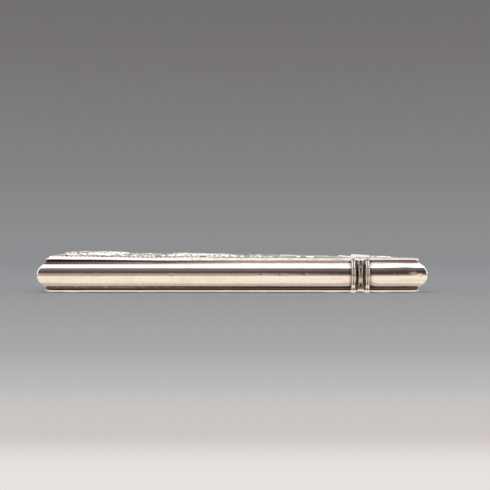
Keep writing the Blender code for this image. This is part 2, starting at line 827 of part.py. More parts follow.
def add_hinge():
    for end, owner, holder in ((1, "body", CASE), (-1, "lid", LID)):
        add_piece(f"{owner}_hinge_box", hinge_box(end), HINGE_SILVER, holder)
    top = barrel_height / 2
    front_end = top - front_knuckle_length
    middle_top = front_end - running_gap
    middle_end = middle_top - middle_knuckle_length
    back_top = middle_end - running_gap
    knuckles = (
        ("hinge_knuckle_front", front_end, top, 1, CASE),
        ("hinge_knuckle_middle", middle_end, middle_top, -1, LID),
        ("hinge_knuckle_back", -top, back_top, 1, CASE),
    )
    for name, bottom, upper, end, holder in knuckles:
        add_piece(name, knuckle(bottom, upper, end), HINGE_SILVER, holder)
    profile = []
    seat = top + solder_gap
    for radius, height in (
        (pin_head_radius * pin_crown_share, seat + pin_head_height),
        (pin_head_radius * pin_shoulder_share, seat + pin_head_height * pin_shoulder_height_share),
        (pin_head_radius, seat),
        (pin_radius, seat),
    ):
        profile.append((radius, height))
    profile += [(radius, -height) for radius, height in reversed(profile)]
    rings = []
    for radius, height in profile:
        rings.append([
            Vector((
                joint_x + radius * math.cos(math.tau * (i + 0.5) / round_sides),
                hinge_y + radius * math.sin(math.tau * (i + 0.5) / round_sides),
                height,
            ))
            for i in range(round_sides)
        ])
    add_piece("hinge_pin", add_rings(bmesh.new(), rings), HINGE_SILVER, CASE)


clear_scene()
case_centre = Vector((0, 0, mid_height))
lid_axis = Vector((joint_x, hinge_y, 0))
CASE = (add_empty("case_frame", case_centre), Vector((0, 0, 0)))
LID = (add_empty("lid_pivot", case_centre + lid_axis), lid_axis)
add_plates()
add_bands()
add_rims()
add_bezel()
add_hinge()
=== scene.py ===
import math

import bmesh
import bpy
import numpy as np
from mathutils import Euler, Matrix


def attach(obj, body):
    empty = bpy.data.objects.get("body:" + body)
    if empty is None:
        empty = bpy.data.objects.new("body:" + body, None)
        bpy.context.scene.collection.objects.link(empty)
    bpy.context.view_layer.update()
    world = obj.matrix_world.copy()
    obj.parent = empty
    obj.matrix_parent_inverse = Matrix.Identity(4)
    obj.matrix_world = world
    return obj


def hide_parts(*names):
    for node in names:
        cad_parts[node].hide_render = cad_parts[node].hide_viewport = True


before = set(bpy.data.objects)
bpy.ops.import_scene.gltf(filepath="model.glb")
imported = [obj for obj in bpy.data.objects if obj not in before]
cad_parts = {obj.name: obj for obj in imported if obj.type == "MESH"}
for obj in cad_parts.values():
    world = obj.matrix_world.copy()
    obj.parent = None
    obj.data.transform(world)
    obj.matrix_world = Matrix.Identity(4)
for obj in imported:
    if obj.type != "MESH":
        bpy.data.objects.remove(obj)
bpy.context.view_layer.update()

MM = 0.001

# Sizes of the case in millimetres, about its own centre, as in the CAD model
HALF_LENGTH = 50.0
HALF_WIDTH = 35.0
MID_Z = 4.62
JOINT_X = 32.85
MOUTH_GAP = 0.05
HINGE_Y = -34.15
LIP_X = 48.03
LIP_Y = 33.03
PLATE_OUTER = 4.25
PLATE_INNER = 3.67
BAND_HALF = 3.62
CREST_R = 3.05
CREST_ANGLE = math.radians(50.0)
BAND_SHEET = 0.5
RIM_WIDTH = 1.1
RIM_SETBACK = 1.25
RIM_SIDE_HEIGHT = 0.35
HINGE_STOP = 1.47
BACK_RELIEF = 0.37
FIELD_MARGIN = 2.6
FIELD_RIM_MARGIN = 0.5

# Fit and wear, the reach of the tarnish, painted shade and painted highlights, in millimetres, and the twist
# as a share of the height
CEILING = 10.29
TWIST_FOOT = 0.042
TWIST_LID = 0.055
MITRE_ROUND = 0.42
MITRE_GAP = 0.012
CORNER_ROUND = 0.55
COVE_LARGE = 0.757
COVE_SMALL = 0.5
LIP_FALL = 0.45
MOUTH_BAND = 0.7
# Width of the lips' edge strip that gets painted shade on the front plate
LIP_SHADE_STRIP = 1.9
# Heights between which the tarnish, the painted shade and the painted highlights lie
TARNISH_AND_SHADING_LOW = MID_Z - 4.154
TARNISH_AND_SHADING_HIGH = MID_Z + 3.846

# The chased fields, inside the plates' borders
FIELD_Y = LIP_Y - FIELD_MARGIN
BODY_LOW = FIELD_MARGIN - LIP_X
BODY_HIGH = JOINT_X - RIM_SETBACK - RIM_WIDTH - FIELD_RIM_MARGIN
BODY_CENTRE = (BODY_LOW + BODY_HIGH) / 2
BODY_FIELD = (BODY_HIGH - BODY_LOW) / 2
LID_LOW = JOINT_X + RIM_SETBACK + RIM_WIDTH + FIELD_RIM_MARGIN
LID_HIGH = LIP_X - FIELD_MARGIN
LID_FIELD = (LID_HIGH - LID_LOW) / 2


# Meshes

def twist(x, y):
    """The old case has taken a slight twist: its far edge stands up at the foot and sags at the lid."""
    along = np.clip(x / HALF_LENGTH, -1, 1)
    across = np.clip((y + HALF_WIDTH) / (2 * HALF_WIDTH), 0, 1)
    return 1 - np.where(x < 0, TWIST_FOOT, TWIST_LID) * along * across


def out_of_true(points):
    """Points about the case's centre, moved up to stand on the floor and twisted."""
    points = np.asarray(points, dtype=float).copy()
    points[:, 2] += MID_Z
    points[:, 2] *= twist(points[:, 0], points[:, 1])
    return points


def add_object(name, data):
    obj = bpy.data.objects.new(name, data)
    bpy.context.scene.collection.objects.link(obj)
    return obj


def add_piece(node, points, faces, body, material, angle=40.0):
    """A fine piece that stands for a CAD node. points are millimetres about the case's centre."""
    points = out_of_true(points)
    mesh = bpy.data.meshes.new("fine_" + node)
    mesh.from_pydata((points * MM).tolist(), [], faces)
    scratch = bmesh.new()
    scratch.from_mesh(mesh)
    bmesh.ops.recalc_face_normals(scratch, faces=scratch.faces)
    scratch.to_mesh(mesh)
    scratch.free()
    obj = add_object("fine_" + node, mesh)
    mesh.materials.append(material)
    mesh.shade_smooth()
    mesh.set_sharp_from_angle(angle=math.radians(angle))
    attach(obj, body)
    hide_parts(node)
    return obj


def set_recess_and_shade(obj, values):
    """How dark each point is made: tarnish in hollows, partly painted shade, and painted shade on and under
    the plates' lips.
    """
    attribute = obj.data.attributes.new("recess_and_shade", "FLOAT", "POINT")
    attribute.data.foreach_set("value", np.asarray(values, dtype=np.float32))


def bridge(first, second):
    """Faces between two closed loops of point numbers."""
    return [(first[i - 1], first[i], second[i], second[i - 1]) for i in [*range(1, len(first)), 0]]


def ring_mesh(rings, capped=True, strip=False):
    """Points and faces of a tube through rings, an array of (ring, point, xyz)."""
    rings = np.asarray(rings, dtype=float)
    count = rings.shape[1]
    loops = [range(base, base + count) for base in range(0, len(rings) * count, count)]
    faces = [face for pair in zip(loops, loops[1:]) for face in bridge(*pair)]
    for loop in (loops[0], loops[-1]) if capped else ():
        if strip:
            faces += [(loop[i], loop[i + 1], loop[-i - 2], loop[-i - 1]) for i in range(count // 2 - 1)]
        else:
            faces.append(tuple(loop))
    return rings.reshape(-1, 3), faces


def waver(x, seed, longest=24.0, size=1.0):
    """A smooth hand-made unevenness along x, about -size to size."""
    rng = np.random.default_rng(seed)
    total = np.zeros_like(np.asarray(x, dtype=float))
    for k in range(5):
        wave = longest / (1.0 + 0.9 * k)
        total = total + math.exp(-0.45 * k) * np.sin(math.tau * x / wave + rng.uniform(0, math.tau))
    return total * size * 0.42


# Materials

def node_tree(name):
    material = bpy.data.materials.new(name)
    material.use_nodes = True
    tree = material.node_tree
    return material, tree, tree.nodes["Principled BSDF"]


def add(tree, kind, sockets=None, **settings):
    """A node. sockets gives inputs, by name or number, an output to link or a value."""
    node = tree.nodes.new(kind)
    for key, value in settings.items():
        setattr(node, key, value)
    for key, value in (sockets or {}).items():
        if hasattr(value, "is_output"):
            tree.links.new(value, node.inputs[key])
        else:
            node.inputs[key].default_value = value
    return node


def grey(colour):
    """A colour, which may be given as one number."""
    return colour if isinstance(colour, tuple) else (colour, colour, colour)


def noise(tree, coords, scale, detail=3.0, rough=0.55, stretch=None):
    if stretch:
        coords = add(tree, "ShaderNodeMapping", {"Vector": coords, "Scale": stretch}).outputs["Vector"]
    return add(tree, "ShaderNodeTexNoise", {
        "Vector": coords, "Scale": scale, "Detail": detail, "Roughness": rough,
    }).outputs["Fac"]


def ramp(tree, source, stops):
    """A colour ramp. stops are (place, colour or grey)."""
    node = add(tree, "ShaderNodeValToRGB", {"Fac": source})
    band = node.color_ramp
    while len(band.elements) < len(stops):
        band.elements.new(0.5)
    for element, (place, colour) in zip(band.elements, stops):
        element.position = place
        element.color = (*grey(colour), 1)
    return node.outputs["Color"]


def blend(tree, factor, low, high, mode="MIX"):
    low, high = ((*colour, 1) if isinstance(colour, tuple) else colour for colour in (low, high))
    return add(
        tree, "ShaderNodeMix", {0: factor, 6: low, 7: high}, data_type="RGBA", blend_type=mode,
    ).outputs[2]


def math_node(tree, operation, *values):
    return add(tree, "ShaderNodeMath", dict(enumerate(values)), operation=operation).outputs[0]


def vector_node(tree, operation, *values):
    node = add(tree, "ShaderNodeVectorMath", dict(enumerate(values)), operation=operation)
    return node.outputs["Value" if operation == "LENGTH" else "Vector"]


def total(tree, first, second, share):
    """first plus a share of second."""
    return math_node(tree, "MULTIPLY_ADD", second, share, first)


def map_range(tree, source, low, high, start=0.0):
    """Brings source, from low to high, to start to 1."""
    return add(tree, "ShaderNodeMapRange", {
        "Value": source, "From Min": low, "From Max": high, "To Min": start,
    }).outputs["Result"]


def axes(tree, coords):
    return add(tree, "ShaderNodeSeparateXYZ", {0: coords}).outputs


def bump(tree, height, strength, distance, below=None):
    sockets = {"Height": height, "Strength": strength, "Distance": distance * MM}
    if below:
        sockets["Normal"] = below
    return add(tree, "ShaderNodeBump", sockets).outputs["Normal"]


def mix_shaders(tree, factor, first, second):
    return add(tree, "ShaderNodeMixShader", {0: factor, 1: first, 2: second}).outputs[0]


def coordinates(tree):
    return add(tree, "ShaderNodeTexCoord").outputs["Object"]


def silver(name, polish=0.06, tint=(0.965, 0.935, 0.885), root=0.0, under_lips=False, recessed=False,
           scratch=0.1, highlit_ends=None):
    """Old silver, finely scratched, darkened in its hollows by tarnish and painted shade, with painted
    highlights at some ends.

    root is how dark the roots of the lips are made: partly tarnish, partly painted shade. under_lips adds
    a painted reflection under the front lip, partly tarnish, and a painted shadow next to the rims at the
    hinge. recessed reads the attribute of tarnish and painted shade. The last argument gives the shares
    of the height below and above which a piece gets a painted highlight.
    """
    material, tree, shader = node_tree(name)
    coords = coordinates(tree)
    patches = noise(tree, coords, 150.0, 5.0, 0.6)
    colour = ramp(tree, patches, ((0.34, (0.87, 0.80, 0.72)), (0.5, tint), (0.75, (0.985, 0.965, 0.93))))
    colour = blend(tree, 0.55, tint, colour)
    streaks = noise(tree, coords, 420.0, 3.0, 0.6, (0.06, 1.0, 1.0))
    grain = ramp(tree, noise(tree, coords, 1500.0, 3.0, 0.6, (0.035, 1.0, 1.0)), (
        (0.32, (0.88, 0.855, 0.83)), (0.50, 1.0),
    ))
    colour = blend(tree, 1.0, colour, grain, "MULTIPLY")
    mottle = ramp(tree, noise(tree, coords, 1100.0, 3.0, 0.6), (
        (0.34, (0.955, 0.93, 0.93)), (0.46, 1.0), (0.68, (1.0, 0.985, 0.945)),
    ))
    colour = blend(tree, 1.0, colour, mottle, "MULTIPLY")
    # Darker where the attribute says: tarnish in the hollows, partly painted shade, and painted shade on and
    # under the plates' lips.
    if recessed:
        recess_and_shade = add(tree, "ShaderNodeAttribute", attribute_name="recess_and_shade").outputs["Fac"]
        colour = blend(tree, recess_and_shade, colour, (0.13, 0.095, 0.085))
    # Darker at the roots of the lips, towards the bottom: partly tarnish, partly painted shade that stands
    # for the dark reflection of the floor shadowed under the case and of the lip's underside.
    if root:
        split = axes(tree, coords)
        height = map_range(tree, split["Z"], TARNISH_AND_SHADING_LOW * MM, TARNISH_AND_SHADING_HIGH * MM)
        place = map_range(tree, split["X"], -HALF_LENGTH * MM, HALF_LENGTH * MM)
        ragged_edge = noise(tree, coords, 1800.0, 4.0, 0.65, (0.6, 1.0, 1.0))
        lower = total(tree, total(tree, height, streaks, 0.03), ragged_edge, -0.10)
        lower = total(tree, lower, ramp(tree, place, (
            (0.0, 0.35), (0.20, 0.15), (0.77, 0.2), (0.804, 0.5), (0.851, 1.0), (0.872, 0.2), (0.95, 0.1),
        )), -0.1)
        below = ramp(tree, lower, (
            (0.0, 1.0), (0.05, 1.0), (0.07, 0.93), (0.082, 0.60), (0.095, 0.47), (0.127, 0.50),
            (0.159, 0.46), (0.191, 0.28), (0.215, 0.0),
        ))
        # A painted reflection under the front lip, partly tarnish: dark maroon-brown at the foot, pale pink
        # in the middle, duller towards the lid's end.
        if under_lips:
            widening = ramp(tree, place, ((0.2, 1.0), (0.45, 0.4), (0.58, 0.0)))
            upper = total(tree, total(tree, height, widening, 0.027), streaks, 0.012)
            above = ramp(tree, upper, ((0.880, 0.0), (0.888, 1.0), (1.0, 1.0)))
            colour = blend(tree, above, colour, ramp(tree, place, (
                (0.02, (0.14, 0.09, 0.085)), (0.17, (0.26, 0.19, 0.175)), (0.33, (0.42, 0.33, 0.31)),
                (0.52, (0.95, 0.82, 0.79)), (0.78, (0.92, 0.79, 0.76)), (0.95, (0.66, 0.53, 0.51)),
            )))
            # A painted shadow on the sides next to the rims at the hinge.
            shadow_by_rims = ramp(tree, place, ((0.797, 0.0), (0.803, 0.7), (0.853, 0.7), (0.860, 0.0)))
            colour = blend(tree, shadow_by_rims, colour, (0.16, 0.115, 0.10))
        dark = blend(tree, below, colour, (0.075, 0.043, 0.033))
        colour = blend(tree, root, colour, dark)
        # A painted highlight at the top and bottom ends.
        if highlit_ends:
            low, high = highlit_ends
            end_highlight = ramp(tree, height, (
                (low - 0.03, 1.0), (low + 0.02, 0.0), (high - 0.015, 0.0), (high + 0.015, 1.0),
            ))
            colour = blend(tree, end_highlight, colour, (0.95, 0.925, 0.88))
    rough = ramp(tree, patches, ((0.3, polish), (0.75, polish * 1.8)))
    if under_lips:
        rough = blend(tree, above, rough, grey(0.38))
    if recessed:
        rough = blend(tree, recess_and_shade, rough, grey(0.40))
    normal = bump(tree, noise(tree, coords, 210.0, 2.0), 0.14, 0.12)
    normal = bump(tree, streaks, scratch, 0.012, normal)
    shader.inputs["Metallic"].default_value = 1.0
    for socket, source in (("Base Color", colour), ("Roughness", rough), ("Normal", normal)):
        tree.links.new(source, shader.inputs[socket])
    return material


POLISHED = silver("polished_silver_look", root=0.95, under_lips=True)
# The rims' ends at the lips get a painted highlight.
RIM = silver(
    "rim_silver_look", polish=0.10, tint=(0.66, 0.625, 0.57), root=0.35, recessed=True,
    highlit_ends=(0.19, 0.93),
)
CHASED = silver("chased_silver_look", polish=0.12, recessed=True, scratch=0.2)
# The hinge's knuckles, pin and boxes are tinted near black, as painted shade of the slot between the rims;
# their ends get a painted highlight.
HINGE = silver(
    "hinge_silver_look", polish=0.13, tint=(0.29, 0.262, 0.235), root=0.7, scratch=0.25,
    highlit_ends=(0.07, 0.97),
)
BOX = silver(
    "hinge_box_look", polish=0.22, tint=(0.20, 0.165, 0.15), root=0.5, scratch=0.25,
    highlit_ends=(0.07, 0.98),
)
INSIDE = silver("inside_silver_look", polish=0.16, tint=(0.92, 0.885, 0.83))


# Rounded sides

def side_profile(inset, half_height, arc_steps=44, slope_steps=7, cove_steps=7, cove=COVE_LARGE):
    """(depth, height, normal angle) of a rounded side from back to front.

    An arc at the crest runs into a slope, which turns up in a small cove where it meets the lip.
    """
    radius = CREST_R - inset
    angles = np.linspace(-CREST_ANGLE, CREST_ANGLE, arc_steps + 1)
    depth = CREST_R - radius * np.cos(angles)
    height = radius * np.sin(angles)
    cove = max(cove - inset * 0.5, 0.05)
    cove_height = cove * math.sin(CREST_ANGLE)
    rise = max(half_height - height[-1] - cove_height, 0.05)
    share = np.linspace(0, 1, slope_steps + 1)[1:]
    slope_depth = depth[-1] + share * rise * math.tan(CREST_ANGLE)
    slope_height = height[-1] + share * rise
    turn = CREST_ANGLE * (1 - np.linspace(0, 1, cove_steps + 1)[1:])
    scale = (half_height - slope_height[-1]) / math.sin(CREST_ANGLE)
    cove_depth = slope_depth[-1] + scale * (np.cos(turn) - math.cos(CREST_ANGLE))
    cove_rise = slope_height[-1] + scale * (math.sin(CREST_ANGLE) - np.sin(turn))
    end_depth = np.concatenate([slope_depth, cove_depth])
    end_height = np.concatenate([slope_height, cove_rise])
    end_angle = np.concatenate([np.full(slope_steps, CREST_ANGLE), turn])
    return (np.concatenate([end_depth[::-1], depth, end_depth]),
            np.concatenate([-end_height[::-1], height, end_height]),
            np.concatenate([-end_angle[::-1], angles, end_angle]))


def cove_fade(x):
    """How far the cove under the lip has faded at x: the case is worn deeper at its foot."""
    return np.interp(x, (-48, -32, -12, 9, 25, 36, 50), (0, 0.25, 0.6, 1.0, 1.0, 0.8, 0.75))


def faded_profile(fade, *args, **options):
    large = side_profile(*args, cove=COVE_LARGE, **options)
    small = side_profile(*args, cove=COVE_SMALL, **options)
    return [a + (b - a) * fade for a, b in zip(large, small)]


def band_mesh(start, end, place, seed, mitres, fades, dents):
    """A rounded side. start and end give where it ends at a depth, place maps (along, depth, z).

    mitres says of each end whether it is a mitre, whose edge is worn round. fades gives how far the
    cove has faded at an end.
    """
    step = 0.25 if dents else 0.6
    low_depth, height, _ = faded_profile(fades[0], 0, BAND_HALF)
    high_depth, _, _ = faded_profile(fades[1], 0, BAND_HALF)
    low, high = start(low_depth), end(high_depth)
    low_in = start(faded_profile(fades[0], BAND_SHEET, BAND_HALF)[0])
    high_in = end(faded_profile(fades[1], BAND_SHEET, BAND_HALF)[0])
    length = float(np.mean(high - low))
    count = max(int(length / step), 8)
    turns = np.radians(np.linspace(45, 90, 8))
    under_lip_shade = [(MITRE_ROUND * (1 - math.cos(t)), MITRE_ROUND * (1 - math.sin(t))) for t in turns]
    sawn = [(0.0, 0.03), (0.02, 0.008), (0.06, 0.0)]
    first, last = (under_lip_shade if mitred else sawn for mitred in mitres)
    margin = MITRE_ROUND + 0.3
    rings = []
    calm = np.clip((BAND_HALF - np.abs(height)) / 1.2, 0, 1)

    def ring(along, along_in, inset):
        if fades[0] == fades[1]:
            fade = fades[0]
        else:
            fade = cove_fade(float(np.mean(along)))
        depth, height, angle = faded_profile(fade, 0, BAND_HALF)
        inner_depth, inner_height, _ = faded_profile(fade, BAND_SHEET, BAND_HALF)
        swell = waver(along, seed, 30.0, 0.010) * (0.6 + 0.4 * np.sin(height * 0.9 + seed))
        swell = swell + waver(along + 4 * height, seed + 5, 9.0, 0.0022)
        for dent_along, dent_height, reach_along, reach_up, dent_depth in dents:
            reach = np.hypot((along - dent_along) / reach_along, (height - dent_height) / reach_up)
            swell = swell - dent_depth * np.exp(-reach ** 2)
        swell = swell * calm
        outer_depth = depth - np.cos(angle) * swell + inset
        outer = place(along, outer_depth, height + np.sin(angle) * swell)
        inner = place(along_in, inner_depth, inner_height)
        rings.append(np.concatenate([outer, inner[::-1]]))

    for reach, inset in first:
        ring(low + reach, low_in + reach, inset)
    for share in np.linspace(0, 1, count):
        ring(low + margin + (high - low - 2 * margin) * share,
             low_in + margin + (high_in - low_in - 2 * margin) * share, 0.0)
    for reach, inset in last[::-1]:
        ring(high - reach, high_in - reach, inset)
    return ring_mesh(rings, strip=True)


def along_side(side):
    return lambda along, depth, height: np.stack([along, side * (HALF_WIDTH - depth), height], axis=1)


def along_end(end):
    return lambda along, depth, height: np.stack([end * (HALF_LENGTH - depth), along, height], axis=1)


def add_bands():
    """The rounded sides and ends. A dent is (along, height, reach along, reach up, depth)."""
    dents = (
        (-15.4, 0.0, 0.3, 0.2, 0.035), (-16.2, 0.2, 0.25, 0.15, 0.025), (-34.8, 0.1, 0.4, 0.3, 0.02),
        (-28.2, 0.1, 0.35, 0.2, 0.02), (-26.5, 0.2, 0.3, 0.18, 0.022), (-25.0, 0.1, 0.25, 0.15, 0.018),
        (-23.6, 0.15, 0.35, 0.18, 0.02), (-44.8, -1.8, 0.4, 0.2, 0.02), (-47.4, -0.8, 0.25, 0.2, 0.02),
        (7.5, 0.1, 0.3, 0.15, 0.018), (12.4, 0.1, 0.35, 0.18, 0.022), (13.2, 0.15, 0.3, 0.15, 0.018),
        (-0.1, -0.95, 0.3, 0.25, 0.015), (1.2, -0.95, 0.35, 0.25, 0.015), (2.6, -0.95, 0.35, 0.25, 0.015),
        (8.0, -0.8, 1.6, 0.7, 0.02), (24.0, -2.1, 3.0, 0.7, 0.02), (-12.0, -2.2, 5.0, 0.6, -0.02),
        (18.5, 0.2, 0.7, 0.3, 0.012), (-40.0, -2.3, 1.2, 0.4, 0.03), (-37.0, -2.4, 1.0, 0.3, -0.03),
    )
    lid_dents = (
        (48.2, -0.15, 0.3, 0.2, 0.05), (49.2, -0.5, 0.3, 0.25, 0.04), (41.0, 0.8, 0.6, 0.6, 0.015),
        (47.4, 1.1, 1.6, 0.9, -0.12), (47.0, 2.4, 8.0, 1.2, -0.18), (42.5, 0.3, 0.4, 0.3, 0.012),
    )

    def mitre(end, half):
        return lambda d: end * (half - d - MITRE_GAP)

    def square(x):
        return lambda d: x + 0 * d

    foot, head = mitre(-1, HALF_LENGTH), mitre(1, HALF_LENGTH)
    across = mitre(-1, HALF_WIDTH), mitre(1, HALF_WIDTH)
    body_fades, lid_fades = (0.0, 1.0), (0.8, 0.8)
    rows = (
        ("body_hinge_side_band", foot, square(JOINT_X - HINGE_STOP), along_side(-1), 3, body_fades, dents),
        ("body_catch_side_band", foot, square(JOINT_X - MOUTH_GAP), along_side(1), 11, body_fades, ()),
        ("lid_hinge_side_band", square(JOINT_X + HINGE_STOP), head, along_side(-1), 17, lid_fades, lid_dents),
        ("lid_catch_side_band", square(JOINT_X + MOUTH_GAP), head, along_side(1), 23, lid_fades, ()),
        ("body_foot_band", *across, along_end(-1), 31, (0.0, 0.0), ()),
        ("lid_end_band", *across, along_end(1), 37, lid_fades, ()),
    )
    for node, start, end, place, seed, fades, marks in rows:
        body = node.split("_")[0]
        mitres = (body == "body", body == "lid") if "side" in node else (True, True)
        points, faces = band_mesh(start, end, place, seed, mitres, fades, marks)
        add_piece(node, points, faces, body, POLISHED)


# Chased ornament

class Field:
    """Heights, from 0 to 1, of an ornament on a grid of millimetres."""

    def __init__(self, size_u, size_v, step=0.1):
        self.step = step
        self.u = np.arange(0, size_u + step, step)
        self.v = np.arange(0, size_v + step, step)
        self.h = np.zeros((len(self.u), len(self.v)))

    def window(self, low, high):
        a = np.clip((np.asarray(low) / self.step).astype(int), 0, None)
        b = (np.asarray(high) / self.step).astype(int) + 2
        return slice(a[0], min(b[0], len(self.u))), slice(a[1], min(b[1], len(self.v)))

    def put(self, low, high, function):
        rows, columns = self.window(low, high)
        if rows.stop <= rows.start or columns.stop <= columns.start:
            return
        u, v = np.meshgrid(self.u[rows], self.v[columns], indexing="ij")
        self.h[rows, columns] = np.maximum(self.h[rows, columns], function(u, v))

    def stroke(self, path, widths, heights, profile):
        """Stamps a stroke along a path. profile takes (across from -1 to 1, share along)."""
        path = np.asarray(path, dtype=float)
        widths = np.asarray(widths, dtype=float)
        heights = np.asarray(heights, dtype=float)
        reach = widths.max() / 2 + self.step

        def heights_at(u, v):
            best = np.full(u.shape, 1e9)
            across = np.full(u.shape, 9.0)
            share = np.zeros(u.shape)
            width = np.ones(u.shape)
            height = np.zeros(u.shape)
            total = len(path) - 1
            for i in range(total):
                a, b = path[i], path[i + 1]
                d = b - a
                length = float(np.hypot(*d)) + 1e-9
                t = np.clip(((u - a[0]) * d[0] + (v - a[1]) * d[1]) / length ** 2, 0, 1)
                off_u, off_v = u - a[0] - t * d[0], v - a[1] - t * d[1]
                distance = np.hypot(off_u, off_v)
                sign = np.sign(d[0] * off_v - d[1] * off_u)
                closer = distance < best
                w = widths[i] + (widths[i + 1] - widths[i]) * t
                best = np.where(closer, distance, best)
                across = np.where(closer, sign * distance / (w / 2 + 1e-9), across)
                share = np.where(closer, (i + t) / total, share)
                height = np.where(closer, heights[i] + (heights[i + 1] - heights[i]) * t, height)
            inside = np.abs(across) < 1
            return np.where(inside, height * profile(np.clip(across, -1, 1), share), 0)

        self.put(path.min(axis=0) - reach, path.max(axis=0) + reach, heights_at)

    def at(self, u, v):
        """Heights at any points, between the grid's own."""
        a = np.clip(u / self.step, 0, len(self.u) - 1.001)
        b = np.clip(v / self.step, 0, len(self.v) - 1.001)
        i, j = a.astype(int), b.astype(int)
        s, t = a - i, b - j
        h = self.h
        return (h[i, j] * (1 - s) * (1 - t) + h[i + 1, j] * s * (1 - t)
                + h[i, j + 1] * (1 - s) * t + h[i + 1, j + 1] * s * t)


def stem_profile(across, share):
    crown = np.sqrt(1 - across ** 2)
    return crown * (1 - 0.28 * np.exp(-(across / 0.22) ** 2))


def leaf_profile(lobes):
    def profile(across, share):
        scallop = 0.74 + 0.26 * np.abs(np.sin(math.pi * (lobes * share + 0.15))) ** 0.6
        edge = np.clip(np.abs(across) / scallop, 0, 1)
        crown = (1 - edge ** 2) ** 0.55
        vein = 1 - 0.42 * np.exp(-(across / 0.17) ** 2)
        side_veins = 1 - 0.2 * (0.5 + 0.5 * np.cos(math.tau * (lobes * share - 0.8 * np.abs(across))))
        return crown * vein * side_veins
    return profile


def leaf(field, base, heading, length, width, curl, height=0.9, lobes=3):
    """A leaf that leaves base at heading and curls more towards its tip."""
    steps = 9
    path = [np.array(base, dtype=float)]
    for i in range(steps):
        angle = heading + curl * ((i + 0.5) / steps) ** 1.25
        path.append(path[-1] + length / steps * np.array([math.cos(angle), math.sin(angle)]))
    share = np.linspace(0, 1, steps + 1)
    widths = width * (0.34 + 0.66 * np.sin(math.pi * np.clip(share * 0.93 + 0.1, 0, 1)) ** 0.8)
    heights = height * (0.72 + 0.28 * np.sin(math.pi * share))
    field.stroke(path, widths, heights, leaf_profile(lobes))


def scroll(field, eye, radius, turns, end_degrees, hand, width, height=1.0):
    """A tapering stem that winds out from its eye. Returns its points, eye first."""
    inner_share = 0.2
    share = np.linspace(0, 1, int(26 * turns) + 8)
    reach = radius * inner_share ** (1 - share)
    angle = math.radians(end_degrees) - hand * turns * math.tau * (1 - share)
    path = np.stack([eye[0] + reach * np.cos(angle), eye[1] + reach * np.sin(angle)], axis=1)
    widths = width * (0.5 + 0.5 * share)
    field.stroke(path, widths, np.full(len(share), height), stem_profile)
    return path


def scroll_leaves(field, path, eye, shares, outward, length, width, turn=24.0, curl=118.0, height=0.9):
    """Leaves that grow towards the eye from a scroll, on its outer side (1) or inner (-1)."""
    for share in shares:
        i = max(int(round(share * (len(path) - 1))), 1)
        base, ahead = path[i], path[i - 1]
        growth = math.atan2(ahead[1] - base[1], ahead[0] - base[0])
        radial = math.atan2(base[1] - eye[1], base[0] - eye[0])
        swing = math.copysign(1, math.sin(radial - growth)) * outward
        leaf(field, base, growth + swing * math.radians(turn), length, width,
             swing * math.radians(curl), height)


def flower(field, centre, radius, petals=6):
    height = 0.95

    def heights_at(u, v):
        du, dv = u - centre[0], v - centre[1]
        reach = np.hypot(du, dv)
        wave = np.abs(np.cos(petals * np.arctan2(dv, du) / 2))
        edge = radius * (0.62 + 0.38 * wave ** 0.6)
        share = np.clip(reach / edge, 0, 1)
        petal = np.sqrt(1 - share ** 2) ** 0.7 * (0.62 + 0.38 * share) * (0.72 + 0.28 * wave ** 0.5)
        heart = np.sqrt(np.clip(1 - (reach / (0.28 * radius)) ** 2, 0, 1))
        return height * np.maximum(np.where(reach < edge, petal, 0), heart)

    field.put(np.array(centre) - radius, np.array(centre) + radius, heights_at)


def berry(field, centre, radius, height=0.75):
    def heights_at(u, v):
        share = np.hypot(u - centre[0], v - centre[1]) / radius
        return height * np.sqrt(np.clip(1 - share ** 2, 0, 1))

    field.put(np.array(centre) - radius, np.array(centre) + radius, heights_at)


def fill(field, seed, sizes, margin_u, margin_v):
    """Fills what is left bare with small low leaves and berries, the larger ones first."""
    level = 0.38
    rng = np.random.default_rng(seed)
    for radius, tries, kind in sizes:
        ring = np.linspace(0, math.tau, 12, endpoint=False)
        for _ in range(tries):
            u = rng.uniform(radius * 0.2, field.u[-1] - margin_u)
            v = rng.uniform(radius * 0.2, field.v[-1] - margin_v)
            around_u = np.concatenate([u + radius * np.cos(ring), u + 0.5 * radius * np.cos(ring), [u]])
            around_v = np.concatenate([v + radius * np.sin(ring), v + 0.5 * radius * np.sin(ring), [v]])
            inside = (around_u > 0) & (around_v > 0)
            if field.at(around_u[inside], around_v[inside]).max() > 0.03:
                continue
            if kind == "berry":
                berry(field, (u, v), radius * 0.86, level * 0.9)
                continue
            heading = rng.uniform(0, math.tau)
            curl = math.copysign(math.radians(rng.uniform(80, 150)), rng.uniform(-1, 1))
            base = (u - radius * 0.9 * math.cos(heading), v - radius * 0.9 * math.sin(heading))
            leaf(field, base, heading - curl * 0.3, radius * 2.2, radius * 1.35, curl, level, 2)


